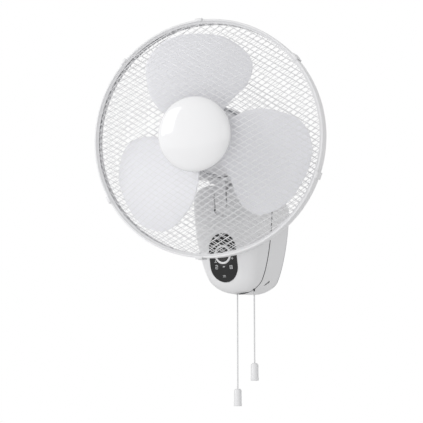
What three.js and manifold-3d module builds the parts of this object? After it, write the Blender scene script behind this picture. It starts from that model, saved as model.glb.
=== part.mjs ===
// Wall mounted fan: a base on the wall, a neck that tilts in it, and a head that swings on the neck.
// Millimetres, +Z up. The wall is the plane Y = 0 and the fan looks along -Y.
// The origin lies on the back of the wall plate, on the centre line.

import * as THREE from 'three';
import { mergeVertices } from 'three/addons/utils/BufferGeometryUtils.js';
import Module from 'manifold-3d';

const wasm = await Module();
wasm.setup();

// ---------------------------------------------------------------- driving dimensions

const SEAT_GAP = 0.3;              // between two pieces that rest on each other
const RUNNING_GAP = 0.3;           // round a shaft, pin or sliding rod

// Base outline, seen from the front
const BASE_HALF_WIDTH = 76.5;      // at the wall
const BASE_SIDE_DRAFT = 0.06;      // how much the sides close in per millimetre of depth
const BASE_TOP = 80;               // top edge at the wall
const BASE_TOP_RISE = 0.33;        // slope of the top at the wall
const BASE_TOP_BEND = 0.00058;     // and how it flattens towards the front
const BASE_BOTTOM = -97;           // lowest point at the wall
const BASE_BOTTOM_DROP = 0.061;    // and how much lower it gets per millimetre of depth
const REAR_CORNER_RADIUS = 20;     // top corners at the wall
const FRONT_CORNER_RADIUS = 32;    // top corners from the seam on
const LOWER_CORNER = [50, -75];    // where the side turns into the bottom
const OUTLINE_STEPS = 14;          // per half outline

// Base in depth
const WALL_PLATE_THICKNESS = 3;
const WALL_PLATE_INSET = 1.5;
const KEYHOLE = { x: 40, z: 24, headRadius: 5, neckWidth: 4.8, rise: 14 };
const BACK_WALL = 4;
const SHELL_WALL = 2.8;
const SEAM_DEPTH = 59;
const FACE_CREST_DEPTH = 127.5;    // furthest point of the front face from the wall
const FACE_CREST_Z = 75;
const FACE_RADIUS = 602;           // bow of the front face from top to bottom
const FACE_ROUNDING = 28;          // edge between the front face and the sides

// Control panel, in the front face
const PANEL_HALF_WIDTH = 30.3;
const PANEL_TOP = 9.3;
const PANEL_BOTTOM = -81.3;
const PANEL_THICKNESS = 4;
const PANEL_PROUD = 0.6;
const BUTTON_Z = -30;
const BUTTON_RING_RADIUS = 18;
const BUTTON_RING_WIDTH = 4;
const BUTTON_RING_DEPTH = 5;
const BUTTON_RING_PROUD = 1.4;
const BUTTON_PROUD = 0.9;
const BUTTON_THICKNESS = 3;
const BUTTON_STEM_RADIUS = 3;
const BUTTON_STEM_GAP = 2;         // to the key switch, more than the button's travel
const KEY_SWITCH = { side: 12, rise: 3.4 };                       // on the board's front
const RELAY = { x: [-15, 3], z: [-62, -46], height: 12 };         // on its back
const BOARD_BEHIND_FACE = 22.3;    // its back face, level with the button
const BOARD_THICKNESS = 1.6;
const BOARD_HALF_WIDTH = 23;
const BOARD_TOP = 3;
const BOARD_BOTTOM = -73;
const BOARD_POST_RADIUS = 2.5;
const BOARD_POST_INSET = 5;

// Tilt joint
const TILT_DEPTH = 100;
const TILT_Z = 60;
const TILT_AT_REST = 5.73;         // degrees, head nodding down
const TILT_PIN_RADIUS = 4;
const TILT_PIN_HEAD_RADIUS = 7;
const TILT_PIN_HEAD_LENGTH = 3.4;
const BRACKET_SHEET = 2.5;
const BRACKET_ARM_HEIGHT = 20;
const BRACKET_ARM_END = 10;        // past the pin
const BRACKET_PLATE_HALF_WIDTH = 38;
const BRACKET_SIDE_PLAY = 2.2;     // between the neck and each arm

// Neck
const SLOT_WIDTH = 29;             // opening for the neck in the front shell
const SLOT_BOTTOM_Z = 41;
const SLOT_BACK_DEPTH = 63;
const NECK_WIDTH = 26;
const NECK_FRONT = 25;             // ahead of the tilt pin
const NECK_BACK = 26;              // behind it
const NECK_FOOT_RADIUS = 28.8;     // round the tilt pin
const NECK_FOOT_DROP = 17;         // lowest point of the rounded tongue below the pin
const NECK_FRONT_RISE = 40;        // where the arm's front turns out to the collar
const NECK_BACK_RISE = 30;
const COLLAR_OVERHANG = 5;         // of the collar past the arm
const COLLAR_RADIUS = 40;
const COLLAR_HEIGHT = 7;
const COLLAR_TOP = 57;             // above the tilt pin

// Swing joint
const SWING_BEHIND_TILT = 12;      // swing axis behind the tilt pin
const MOTOR_ABOVE_TILT = 120.4;
const SWING_AT_REST = 16.53;       // degrees, head turned towards +X
const SWING_HALF_ANGLE = 40;
const POST_RADIUS = 5;
const POST_SHOULDER_RADIUS = 5.9;
const POST_DEPTH_IN_NECK = 20;
const POST_LENGTH_IN_SOCKET = 28;
const SOCKET_RADIUS = 10.5;
const SOCKET_BOTTOM = -54.5;       // from the motor axis
const SOCKET_TOP = -20;
const STUD_RADIUS = 2;
const STUD_SHOULDER = 1.4;
const STUD_REACH = 16;             // from the swing axis
const LINK_LENGTH = 28;
const LINK_THICKNESS = 3;
const LINK_HALF_WIDTH = 2.5;
const LINK_EYE_WALL = 1.7;
const CRANK_EYE_WALL = 2.4;
const LINK_TOP = -55.6;
const CRANK_DISC_RADIUS = 14;
const CRANK_DISC_THICKNESS = 3;
const CRANK_PIN_RADIUS = 2.2;
const CRANK_SHAFT_RADIUS = 2.5;
const SWING_MOTOR_RADIUS = 18;
const SWING_MOTOR_HEIGHT = 14.2;
const SHELF_THICKNESS = 3;
const SHELF_SIDE = 5;              // past the swing motor
const CRANK_ROOM = 4.4;            // between the crank disc and the swing motor's foot

// Head, measured along the motor axis from the swing axis
const RIM_AHEAD = 126.9;           // middle plane of the guard rim
const RIM_RADIUS = 217.5;
const RIM_DEPTH = 24;
const RIM_WALL = 2.4;
const GUARD_SHEET = 2;             // wire mesh, as thick as its wires
const FRONT_GUARD_RISE = 71;
const FRONT_GUARD_POWER = 2.5;
const REAR_GUARD_RISE = 56;
const REAR_GUARD_POWER = 2.2;
const GUARD_HOOP_WIDTH = 5;
const FRONT_GUARD_BORE = 30;       // under the hub cap
const FRONT_CENTRE_RADIUS = 66;    // where its mesh starts
const REAR_CENTRE_RADIUS = 60;
const MESH_SIDE = 41;              // side of one lozenge
const MESH_BAR = 3;
const MESH_WIRE_ANGLES = [27.5, -34.5];
const HUB_CAP_RADIUS = 67;
const HUB_CAP_BULGE = 20;
const HUB_CAP_EDGE = 4;
const HUB_CAP_WALL = 2;
const CLIP_ANGLES = [90.3, 36.8, -22.8, -96.7, -153.4, 134.1];
const CLIP_LENGTH = 14;
const CLIP_WALL = 2.6;
const CLIP_LIP = 4.5;

// Motor
const COVER_RADIUS = 67;
const COVER_WALL = 2.5;
const COVER_BACK = 52;              // behind the swing axis
const COVER_SIDES = 30;
const COVER_ROUNDING = 18;
const COVER_BOTTOM = -62.4;
const SKIRT_HALF_WIDTH = 54;
const SKIRT_FRONT = -45;           // negative is ahead of the swing axis
const SKIRT_BACK = 40;
const SKIRT_CORNER = 18;
const SKIRT_TOP = -20;
const COVER_HOLE_RADIUS = 21;
const FRAME_PLATE = 4;
const FRAME_TUBE_WALL = 3.2;
const FRAME_BACK = -10;
const FRAME_WINDOW = 34;
const FRAME_WEB = 16;              // between the socket and the back plate
const BEARING_LIP = 4;
const BEARING_WALL = 3;
const NOSE_RADIUS = 17;
const NOSE_LENGTH = 15;
const STATOR_RADIUS = 43;
const STATOR_BORE = 24.5;
const STATOR_FRONT = -48;
const STATOR_BACK = -26;
const WINDING_INNER = 28;
const WINDING_OUTER = 39;
const WINDING_LENGTH = 6;
const ROTOR_RADIUS = 24;
const SHAFT_RADIUS = 4;
const SHAFT_BACK = -4;
const BEARING_RADIUS = 11;
const BEARING_WIDTH = 7;
const GUARD_NUT_RADIUS = 27;
const GUARD_NUT_LENGTH = 9;

// Blades: each point of an edge is a share of the tip's radius, and degrees anticlockwise from the front
const BLADE_COUNT = 3;
const BLADE_FIRST_ANGLE = 94;
const BLADE_TIP_GAP = 18.5;        // inside the guard rim
const BLADE_TRAILING_EDGE = [
  [0.136, 44], [0.251, 50], [0.402, 50], [0.578, 46], [0.754, 38], [0.879, 32], [0.955, 25], [1, 15]];
const BLADE_LEADING_EDGE = [
  [0.136, -36], [0.251, -37], [0.377, -38], [0.603, -42], [0.814, -36], [0.94, -18], [0.97, -6], [0.995, 6]];
const BLADE_THICKNESS = 2.2;
const BLADE_ROOT_AHEAD = 26;       // blade centre line ahead of the rim's middle plane, at the hub
const BLADE_TIP_AHEAD = 0;
const BLADE_ROOT_PITCH = 34;       // degrees
const BLADE_TIP_PITCH = 13;
const BLADE_ROWS = 7;
const BLADE_COLUMNS = 6;
const HUB_RADIUS = 33;
const HUB_BACK = -2;               // ahead of the rim's middle plane
const HUB_FRONT = 52;
const BLADE_NUT_RADIUS = 14;
const BLADE_NUT_LENGTH = 12;

// Inside the base, and the pull cords
const SHELL_POSTS = [[-50, 62], [50, 62], [-48, -40], [50, -40]];
const SHELL_POST_RADIUS = 4.5;
const SCREW_RADIUS = 1.6;
const SCREW_HEAD_RADIUS = 3.6;
const SCREW_HEAD_LENGTH = 1.8;
const SCREW_LENGTH = 17;
const SWITCH_PLATE_DEPTH = 45.7;
const SWITCH_PLATE_THICKNESS = 2;
const SWITCH_PLATE_POSTS = [[13, -39], [13, -55]];
const SWITCH_PLATE_POST_RADIUS = 4;
const SWITCH_HALF_WIDTH = 9;
const SWITCH_TOP = -34;
const SWITCH_BOTTOM = -62;
const SWITCH_DEPTH = 22;
const PULL_TRAVEL = 12;
const PULL_ROD_RADIUS = 1.5;
const PULL_HOLE_RADIUS = 2.6;
const CORD_DEPTH = SEAM_DEPTH;
const CORD_DIAMETER = 2.2;
const SPEED_CORD = { x: -5.7, exit: -99.5, end: -278 };
const SWING_CORD = { x: 32, exit: -96.6, end: -231 };
const GRIP_RADIUS = 7.2;
const GRIP_LIP_RADIUS = 7.8;
const GRIP_LENGTH = 32.4;
const RELEASE_SLOT = { at: [51, -45, -81], length: 14, width: 2.6, reach: 24 };
const INLET = { depth: 30, z: -15, radius: 5.2, bore: 3.4, inner: 60, outer: 70 };
const CAPACITOR = { x: [-45, -7], z: [-18, 10], height: 20 };
const TERMINALS = { x: [10, 40], z: [-12, 4], height: 14 };

// ---------------------------------------------------------------- geometry helpers

const degrees = THREE.MathUtils.degToRad;

// A closed mesh whose shared vertices are merged, with no collapsed faces.
function cleanMesh(geometry) {
  const bare = new THREE.BufferGeometry();
  bare.setAttribute('position', geometry.getAttribute('position').clone());
  const count = bare.getAttribute('position').count;
  bare.setIndex(geometry.index ? Array.from(geometry.index.array) : [...Array(count).keys()]);
  const merged = mergeVertices(bare, 1e-4);
  const faces = [];
  for (let i = 0; i < merged.index.count; i += 3) {
    const [a, b, c] = [merged.index.getX(i), merged.index.getX(i + 1), merged.index.getX(i + 2)];
    if (a !== b && b !== c && c !== a) faces.push(a, b, c);
  }
  merged.setIndex(faces);
  return merged;
}

function toSolid(geometry) {
  const mesh = cleanMesh(geometry);
  return new wasm.Manifold(new wasm.Mesh({
    numProp: 3,
    vertProperties: new Float32Array(mesh.getAttribute('position').array),
    triVerts: new Uint32Array(mesh.index.array),
  }));
}

function toGeometry(solid) {
  const mesh = solid.getMesh();
  const geometry = new THREE.BufferGeometry();
  geometry.setAttribute('position', new THREE.BufferAttribute(new Float32Array(mesh.vertProperties), 3));
  geometry.setIndex(new THREE.BufferAttribute(new Uint32Array(mesh.triVerts), 1));
  geometry.computeVertexNormals();
  return geometry;
}

const joined = (...geometries) => geometries.map(toSolid).reduce((sum, solid) => sum.add(solid));

function cut(geometry, ...tools) {
  return toGeometry(tools.reduce((rest, tool) => rest.subtract(toSolid(tool)), toSolid(geometry)));
}

// A round bar along one axis; across holds its other two coordinates, in X, Y, Z order.
function rod(axis, radius, from, to, across = [0, 0], sides = 20) {
  const bar = new THREE.CylinderGeometry(radius, radius, Math.abs(to - from), sides);
  const middle = (from + to) / 2;
  if (axis === 'x') return bar.rotateZ(Math.PI / 2).translate(middle, across[0], across[1]);
  if (axis === 'y') return bar.translate(across[0], middle, across[1]);
  return bar.rotateX(Math.PI / 2).translate(across[0], across[1], middle);
}

// A box given by its low and high coordinate along each axis.
function block([x0, x1], [y0, y1], [z0, z1]) {
  return new THREE.BoxGeometry(x1 - x0, y1 - y0, z1 - z0)
    .translate((x0 + x1) / 2, (y0 + y1) / 2, (z0 + z1) / 2);
}

// A turned piece about Y. The profile runs anticlockwise in [radius, y] and is closed here.
function turned(profile, sides = 20) {
  const points = [...profile, profile[0]].map(([r, y]) => new THREE.Vector2(r, y));
  return new THREE.LatheGeometry(points, sides);
}

const ring = (inner, outer, from, to, sides) =>
  turned([[inner, from], [outer, from], [outer, to], [inner, to]], sides);

// A plate cut to one or more shapes in the X-Z plane, from y = from (front) back to y = to.
function plateXZ(shapes, from, to, curveSegments = 10) {
  const plate = new THREE.ExtrudeGeometry(shapes, { depth: to - from, bevelEnabled: false, curveSegments });
  return plate.rotateX(Math.PI / 2).translate(0, to, 0);
}

// A plate cut to a shape in the X-Y plane, from z = from up to z = to.
function plateXY(shape, from, to, curveSegments = 6) {
  return new THREE.ExtrudeGeometry(shape, { depth: to - from, bevelEnabled: false, curveSegments })
    .translate(0, 0, from);
}

// A solid through rings of equally many points, its two ends closed at their middle points.
function loft(rings, firstMiddle, lastMiddle) {
  const around = rings[0].length;
  const points = [...rings.flat(), firstMiddle, lastMiddle];
  const faces = [];
  for (let i = 0; i < around; i += 1) {
    const j = (i + 1) % around;
    faces.push(points.length - 2, i, j);
    for (let k = 0; k + 1 < rings.length; k += 1) {
      const [a, b] = [k * around, (k + 1) * around];
      faces.push(a + i, b + i, a + j, a + j, b + i, b + j);
    }
    const last = (rings.length - 1) * around;
    faces.push(points.length - 1, last + j, last + i);
  }
  const geometry = new THREE.BufferGeometry().setFromPoints(points);
  geometry.setIndex(faces);
  return geometry;
}

// ---------------------------------------------------------------- materials

const plastic = (color, roughness) => new THREE.MeshStandardMaterial({ color, roughness, metalness: 0 });
const metal = (color, roughness) => new THREE.MeshStandardMaterial({ color, roughness, metalness: 1 });
const WHITE_PLASTIC = plastic(0xe6e6e9, 0.38);
const GLOSS_WHITE = plastic(0xeeeef1, 0.15);
const BLADE_PLASTIC = plastic(0xd9d9e4, 0.5);
const PALE_PLASTIC = plastic(0xcfd0d4, 0.45);
const DARK_PLASTIC = plastic(0x1d1e21, 0.3);
const WHITE_WIRE = metal(0xe9e9ec, 0.4);
const STEEL = metal(0xb4b6ba, 0.35);
const ALUMINIUM = metal(0xa8aaae, 0.5);
const BRASS = metal(0xb9964a, 0.4);
const COPPER = metal(0xa8683c, 0.45);
const BOARD_GREEN = plastic(0x2f6b46, 0.6);
const NYLON = plastic(0xe3ded0, 0.5);
const CORD_WHITE = plastic(0xdcdde1, 0.85);

function add(group, name, shape, material) {
  const geometry = shape.isBufferGeometry ? cleanMesh(shape) : toGeometry(shape);
  const mesh = new THREE.Mesh(geometry, material);
  mesh.name = name;
  group.add(mesh);
}

// ---------------------------------------------------------------- groups: base, tilting neck, swinging head

const fan = new THREE.Group();
const base = new THREE.Group();
const neckGroup = new THREE.Group();
neckGroup.position.set(0, -TILT_DEPTH, TILT_Z);
neckGroup.rotation.x = degrees(TILT_AT_REST);
const head = new THREE.Group();
head.position.set(0, SWING_BEHIND_TILT, MOTOR_ABOVE_TILT);
head.rotation.z = degrees(SWING_AT_REST);
neckGroup.add(head);
fan.add(base, neckGroup);

// ---------------------------------------------------------------- base outline

const faceDepth = (z) => FACE_CREST_DEPTH - (z - FACE_CREST_Z) ** 2 / (2 * FACE_RADIUS);
const topAt = (depth) => BASE_TOP + BASE_TOP_RISE * depth - BASE_TOP_BEND * depth ** 2;
const FRONT_TOP_DEPTH = FACE_CREST_DEPTH - FACE_ROUNDING;
const OUTSIDE = 2 * BASE_HALF_WIDTH;   // past every edge of the base, for cutting shapes

// The right half of the outline at a depth, from the middle of the top to the middle of the bottom.
function halfOutline(depth) {
  const width = BASE_HALF_WIDTH - BASE_SIDE_DRAFT * Math.min(depth, SEAM_DEPTH);
  const top = topAt(depth);
  const bottom = BASE_BOTTOM - BASE_BOTTOM_DROP * Math.min(depth, SEAM_DEPTH);
  const share = Math.min(depth / SEAM_DEPTH, 1);
  const corner = REAR_CORNER_RADIUS + (FRONT_CORNER_RADIUS - REAR_CORNER_RADIUS) * share;
  const [cornerX, cornerZ] = LOWER_CORNER;
  const path = new THREE.Path();
  path.moveTo(0, top);
  path.lineTo(width - corner, top);
  path.absarc(width - corner, top - corner, corner, Math.PI / 2, 0, true);
  path.bezierCurveTo(width, top - corner - 40, cornerX + 16, cornerZ + 33, cornerX, cornerZ);
  path.bezierCurveTo(cornerX - 5, cornerZ - 11, cornerX / 2, bottom, 0, bottom);
  return path;
}

// One ring of the outline, drawn in by inset, with the depth of each point given by its height.
function outlineRing(depth, inset, depthOf) {
  const path = halfOutline(depth);
  const half = [];
  for (let i = 0; i <= OUTLINE_STEPS; i += 1) {
    const u = i / OUTLINE_STEPS;
    const point = path.getPointAt(u);
    const tangent = path.getTangentAt(u);
    const atMiddle = i === 0 || i === OUTLINE_STEPS;
    const x = atMiddle ? 0 : point.x + tangent.y * inset;
    const z = point.y - (atMiddle ? Math.sign(point.y) : tangent.x) * inset;
    half.push(new THREE.Vector3(x, -depthOf(z), z));
  }
  const other = half.slice(1, -1).reverse().map((p) => new THREE.Vector3(-p.x, p.y, p.z));
  return [...half, ...other];
}

// A block of the base's outline between two depths, square to the wall.
function outlineBlock(from, to, inset, steps = 3) {
  const rings = [];
  for (let k = 0; k <= steps; k += 1) {
    const depth = from + ((to - from) * k) / steps;
    rings.push(outlineRing(depth, inset, () => depth));
  }
  return loft(rings, new THREE.Vector3(0, -from, 0), new THREE.Vector3(0, -to, 0));
}

// The front shell's body from a depth to its domed face, drawn in all round by inset.
function domedBlock(from, inset) {
  const rounding = FACE_ROUNDING - inset;
  const face = (z) => faceDepth(z) - inset;
  const rings = [];
  for (const share of [0, 0.5, 1]) {
    const depth = from + (FRONT_TOP_DEPTH - from) * share;
    rings.push(outlineRing(depth, inset, (z) => from + (face(z) - rounding - from) * share));
  }
  for (const angle of [30, 60, 90].map(degrees)) {
    const drawn = inset + rounding * (1 - Math.cos(angle));
    rings.push(outlineRing(FRONT_TOP_DEPTH, drawn, (z) => face(z) - rounding * (1 - Math.sin(angle))));
  }
  const middle = new THREE.Vector3(0, 0, 5);
  const edge = rings[rings.length - 1];
  for (const share of [0.7, 0.35]) {
    rings.push(edge.map((p) => {
      const z = middle.z + (p.z - middle.z) * share;
      return new THREE.Vector3(p.x * share, -face(z), z);
    }));
  }
  middle.y = -face(middle.z);
  return loft(rings, new THREE.Vector3(0, -from, 0), middle);
}

// ---------------------------------------------------------------- base: plate and shells

const SHELL_BACK_DEPTH = WALL_PLATE_THICKNESS + SEAT_GAP;
const CAVITY_DEPTH = SHELL_BACK_DEPTH + BACK_WALL;
const FRONT_SHELL_DEPTH = SEAM_DEPTH + SEAT_GAP;

function wallPlate() {
  const { z, headRadius, neckWidth, rise } = KEYHOLE;
  const keyholes = [-KEYHOLE.x, KEYHOLE.x].flatMap((x) => [
    rod('y', headRadius, -WALL_PLATE_THICKNESS - 1, 1, [x, z], 20),
    block([x - neckWidth / 2, x + neckWidth / 2], [-WALL_PLATE_THICKNESS - 1, 1], [z, z + rise]),
  ]);
  return cut(outlineBlock(0, WALL_PLATE_THICKNESS, WALL_PLATE_INSET, 1), ...keyholes);
}

// The holes that the pull cords leave by, half in each shell.
const pullHoles = () => [SPEED_CORD, SWING_CORD].map(({ x }) =>
  rod('z', PULL_HOLE_RADIUS, BASE_BOTTOM - 20, BASE_BOTTOM + 15, [x, -CORD_DEPTH], 12));

// The slanted slot for a screwdriver's blade, through the lower corner.
function releaseSlot() {
  const { at, length, width, reach } = RELEASE_SLOT;
  const along = new THREE.Vector3(0, -1, -1).normalize();
  const out = new THREE.Vector3(1, 0, 0);
  const across = new THREE.Vector3().crossVectors(out, along);
  const turn = new THREE.Matrix4().makeBasis(out, along, across).setPosition(...at);
  return new THREE.BoxGeometry(reach, length, width).applyMatrix4(turn);
}

// A bar along the cord inlet, longer at both ends by extra.
const inletBar = (radius, extra) =>
  rod('x', radius, -INLET.outer - extra, -INLET.inner + extra, [-INLET.depth, INLET.z], 12);

function rearShell() {
  const outer = toSolid(outlineBlock(SHELL_BACK_DEPTH, SEAM_DEPTH, 0));
  const inner = toSolid(outlineBlock(CAVITY_DEPTH, SEAM_DEPTH + 5, SHELL_WALL));
  let shell = outer.subtract(inner);
  for (const [x, z] of SWITCH_PLATE_POSTS) {
    const end = SWITCH_PLATE_DEPTH - SEAT_GAP;
    shell = shell.add(toSolid(rod('y', SWITCH_PLATE_POST_RADIUS, -end, -CAVITY_DEPTH + 1, [x, z], 12)));
  }
  const sinkEnd = SHELL_BACK_DEPTH + SCREW_HEAD_LENGTH + 2 * SEAT_GAP;
  const screwHoles = SHELL_POSTS.flatMap(([x, z]) => [
    rod('y', SCREW_HEAD_RADIUS + RUNNING_GAP, -sinkEnd, 0, [x, z], 12),
    rod('y', SCREW_RADIUS + 2 * RUNNING_GAP, -CAVITY_DEPTH - 1, 0, [x, z], 12),
  ]);
  const inletHole = inletBar(INLET.radius + RUNNING_GAP, 0);
  return cut(toGeometry(shell), ...screwHoles, ...pullHoles(), releaseSlot(), inletHole);
}

function slotShape(width, bottom, top) {
  const shape = new THREE.Shape();
  shape.moveTo(-width / 2, top);
  shape.lineTo(-width / 2, bottom + width / 2);
  shape.absarc(0, bottom + width / 2, width / 2, Math.PI, 2 * Math.PI, false);
  shape.lineTo(width / 2, top);
  return shape;
}

function stadium(halfWidth, bottom, top) {
  const shape = new THREE.Shape();
  shape.absarc(0, top - halfWidth, halfWidth, 0, Math.PI, false);
  shape.absarc(0, bottom + halfWidth, halfWidth, Math.PI, 2 * Math.PI, false);
  return shape;
}

function frontShell() {
  const outer = toSolid(domedBlock(FRONT_SHELL_DEPTH, 0));
  const inner = toSolid(domedBlock(FRONT_SHELL_DEPTH - 5, SHELL_WALL));
  let shell = outer.subtract(inner);
  const behind = toSolid(block([-OUTSIDE, OUTSIDE], [-FRONT_SHELL_DEPTH - 1, 0], [-OUTSIDE, OUTSIDE]));
  for (const [x, z] of SHELL_POSTS) {
    const foot = -CAVITY_DEPTH - SEAT_GAP;
    const post = toSolid(rod('y', SHELL_POST_RADIUS, -FACE_CREST_DEPTH, foot, [x, z], 12));
    shell = shell.add(post.intersect(outer)).add(post.intersect(behind));
  }
  const screwEnd = CAVITY_DEPTH + SCREW_LENGTH + 2;
  const bores = SHELL_POSTS.map(([x, z]) => rod('y', SCREW_RADIUS + RUNNING_GAP, -screwEnd, 0, [x, z], 12));
  const slot = plateXZ(slotShape(SLOT_WIDTH, SLOT_BOTTOM_Z, OUTSIDE), -OUTSIDE, -SLOT_BACK_DEPTH);
  const panelHole = plateXZ(
    stadium(PANEL_HALF_WIDTH + SEAT_GAP, PANEL_BOTTOM - SEAT_GAP, PANEL_TOP + SEAT_GAP),
    -OUTSIDE, (-SEAM_DEPTH - faceDepth(PANEL_BOTTOM)) / 2, 8);
  return cut(toGeometry(shell), ...bores, ...pullHoles(), slot, panelHole);
}

function shellScrew([x, z]) {
  const seat = SHELL_BACK_DEPTH + SEAT_GAP;
  const neckEnd = seat + SCREW_HEAD_LENGTH;
  return joined(
    rod('y', SCREW_HEAD_RADIUS, -neckEnd, -seat, [x, z], 12),
    rod('y', SCREW_RADIUS, -CAVITY_DEPTH - SCREW_LENGTH, -neckEnd + 0.5, [x, z], 12));
}

add(base, 'wall_plate', wallPlate(), STEEL);
add(base, 'rear_shell', rearShell(), WHITE_PLASTIC);
add(base, 'front_shell', frontShell(), WHITE_PLASTIC);
SHELL_POSTS.forEach((place, i) => add(base, `shell_screw_${i + 1}`, shellScrew(place), STEEL));

// ---------------------------------------------------------------- base: control panel

// The button stands square to the sloping face, and its stem ends above the key switch.
const buttonSlope = Math.atan((FACE_CREST_Z - BUTTON_Z) / FACE_RADIUS);
const BOARD_DEPTH = faceDepth(BUTTON_Z) - BOARD_BEHIND_FACE;
const BOARD_FRONT = BOARD_DEPTH + BOARD_THICKNESS;
const BUTTON_STEM_END =
  (faceDepth(BUTTON_Z) - BOARD_FRONT - KEY_SWITCH.rise - BUTTON_STEM_GAP) / Math.cos(buttonSlope);
const buttonGroup = new THREE.Group();
buttonGroup.position.set(0, -faceDepth(BUTTON_Z), BUTTON_Z);
buttonGroup.rotation.x = buttonSlope;
base.add(buttonGroup);
const onFace = (geometry) => geometry.rotateX(buttonSlope).translate(0, -faceDepth(BUTTON_Z), BUTTON_Z);

function controlPanel() {
  const shape = stadium(PANEL_HALF_WIDTH, PANEL_BOTTOM, PANEL_TOP);
  const plate = plateXZ(shape, 0, PANEL_THICKNESS, 9);
  const place = plate.getAttribute('position');
  for (let i = 0; i < place.count; i += 1) {
    place.setY(i, place.getY(i) - faceDepth(place.getZ(i)) - PANEL_PROUD);
  }
  const x = BOARD_HALF_WIDTH - BOARD_POST_INSET;
  const posts = [-x, x].flatMap((side) => [BOARD_TOP, BOARD_BOTTOM].map((end) => {
    const z = end - Math.sign(end - BUTTON_Z) * BOARD_POST_INSET;
    const front = faceDepth(z) - PANEL_THICKNESS / 2;
    return rod('y', BOARD_POST_RADIUS, -front, -BOARD_FRONT - SEAT_GAP, [side, z], 12);
  }));
  const hole = onFace(
    rod('y', BUTTON_RING_RADIUS + SEAT_GAP, -BUTTON_RING_RADIUS, BUTTON_RING_RADIUS, [0, 0], 32));
  return cut(toGeometry(joined(plate, ...posts)), hole);
}

function circuitBoard() {
  const middle = (BOARD_DEPTH + BOARD_FRONT) / 2;
  const half = KEY_SWITCH.side / 2;
  const keyZ = BUTTON_Z + BUTTON_STEM_END * Math.sin(buttonSlope);
  const board = block([-BOARD_HALF_WIDTH, BOARD_HALF_WIDTH], [-BOARD_FRONT, -BOARD_DEPTH],
    [BOARD_BOTTOM, BOARD_TOP]);
  const keySwitch = block([-half, half], [-BOARD_FRONT - KEY_SWITCH.rise, -middle],
    [keyZ - half, keyZ + half]);
  const relay = block(RELAY.x, [-middle, -BOARD_DEPTH + RELAY.height], RELAY.z);
  return joined(board, keySwitch, relay);
}

const RING_BORE = BUTTON_RING_RADIUS - BUTTON_RING_WIDTH;
add(base, 'control_panel', controlPanel(), DARK_PLASTIC);
add(base, 'circuit_board', circuitBoard(), BOARD_GREEN);
add(buttonGroup, 'button_ring', ring(RING_BORE, BUTTON_RING_RADIUS,
  -BUTTON_RING_PROUD, BUTTON_RING_DEPTH - BUTTON_RING_PROUD, 32), GLOSS_WHITE);
add(buttonGroup, 'power_button', joined(
  rod('y', RING_BORE - RUNNING_GAP, -BUTTON_PROUD, BUTTON_THICKNESS - BUTTON_PROUD, [0, 0], 32),
  rod('y', BUTTON_STEM_RADIUS, BUTTON_THICKNESS / 3, BUTTON_STEM_END, [0, 0], 12)), DARK_PLASTIC);

// ---------------------------------------------------------------- base: electrical pieces and pull switches

function switchPlate() {
  const front = SWITCH_PLATE_DEPTH + SWITCH_PLATE_THICKNESS;
  return block([SPEED_CORD.x - SWITCH_HALF_WIDTH, SWING_CORD.x + SWITCH_HALF_WIDTH],
    [-front, -SWITCH_PLATE_DEPTH], [SWITCH_BOTTOM, SWITCH_TOP]);
}

const SWITCH_FACE = SWITCH_PLATE_DEPTH + SWITCH_PLATE_THICKNESS + SEAT_GAP;
const ROD_TOP = SWITCH_BOTTOM + PULL_TRAVEL + 4;

function pullSwitch({ x }) {
  const body = block([x - SWITCH_HALF_WIDTH, x + SWITCH_HALF_WIDTH],
    [-SWITCH_FACE - SWITCH_DEPTH, -SWITCH_FACE], [SWITCH_BOTTOM, SWITCH_TOP]);
  const bore = rod('z', PULL_ROD_RADIUS + RUNNING_GAP, SWITCH_BOTTOM - 1, ROD_TOP + 1, [x, -CORD_DEPTH], 12);
  return cut(body, bore);
}

function pullRod({ x, exit }) {
  return rod('z', PULL_ROD_RADIUS, exit + SEAT_GAP, ROD_TOP, [x, -CORD_DEPTH], 12);
}

function pullCord({ x, exit, end }) {
  const section = new THREE.Shape().absarc(0, 0, CORD_DIAMETER / 2, 0, 2 * Math.PI);
  const [top, bottom] = [exit, end].map((z) => new THREE.Vector3(x, -CORD_DEPTH, z));
  const extrudePath = new THREE.LineCurve3(top, bottom);
  const steps = Math.round((exit - end) / (3 * CORD_DIAMETER));
  return new THREE.ExtrudeGeometry(section, { extrudePath, steps, curveSegments: 4, bevelEnabled: false });
}

function pullGrip({ x, end }) {
  const top = end - SEAT_GAP;
  const bottom = top - GRIP_LENGTH;
  const grip = turned([[0, bottom], [GRIP_LIP_RADIUS - 1, bottom], [GRIP_LIP_RADIUS, bottom + 1],
    [GRIP_RADIUS, bottom + 8], [GRIP_RADIUS, top - 3], [GRIP_RADIUS - 3, top], [0, top]], 20);
  return grip.rotateX(Math.PI / 2).translate(x, -CORD_DEPTH, 0);
}

const cordInlet = () => cut(inletBar(INLET.radius, 0), inletBar(INLET.bore, 1));

const onBackWall = ({ x, z, height }) =>
  block(x, [-CAVITY_DEPTH - SEAT_GAP - height, -CAVITY_DEPTH - SEAT_GAP], z);

add(base, 'switch_plate', switchPlate(), STEEL);
add(base, 'speed_switch', pullSwitch(SPEED_CORD), DARK_PLASTIC);
add(base, 'swing_switch', pullSwitch(SWING_CORD), DARK_PLASTIC);
add(base, 'run_capacitor', onBackWall(CAPACITOR), DARK_PLASTIC);
add(base, 'terminal_block', onBackWall(TERMINALS), NYLON);
add(base, 'cord_inlet', cordInlet(), PALE_PLASTIC);
for (const [name, cord] of [['speed', SPEED_CORD], ['swing', SWING_CORD]]) {
  add(base, `${name}_rod`, pullRod(cord), BRASS);
  add(base, `${name}_cord`, pullCord(cord), CORD_WHITE);
  add(base, `${name}_grip`, pullGrip(cord), PALE_PLASTIC);
}

// ---------------------------------------------------------------- base: tilt bracket and pin

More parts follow.
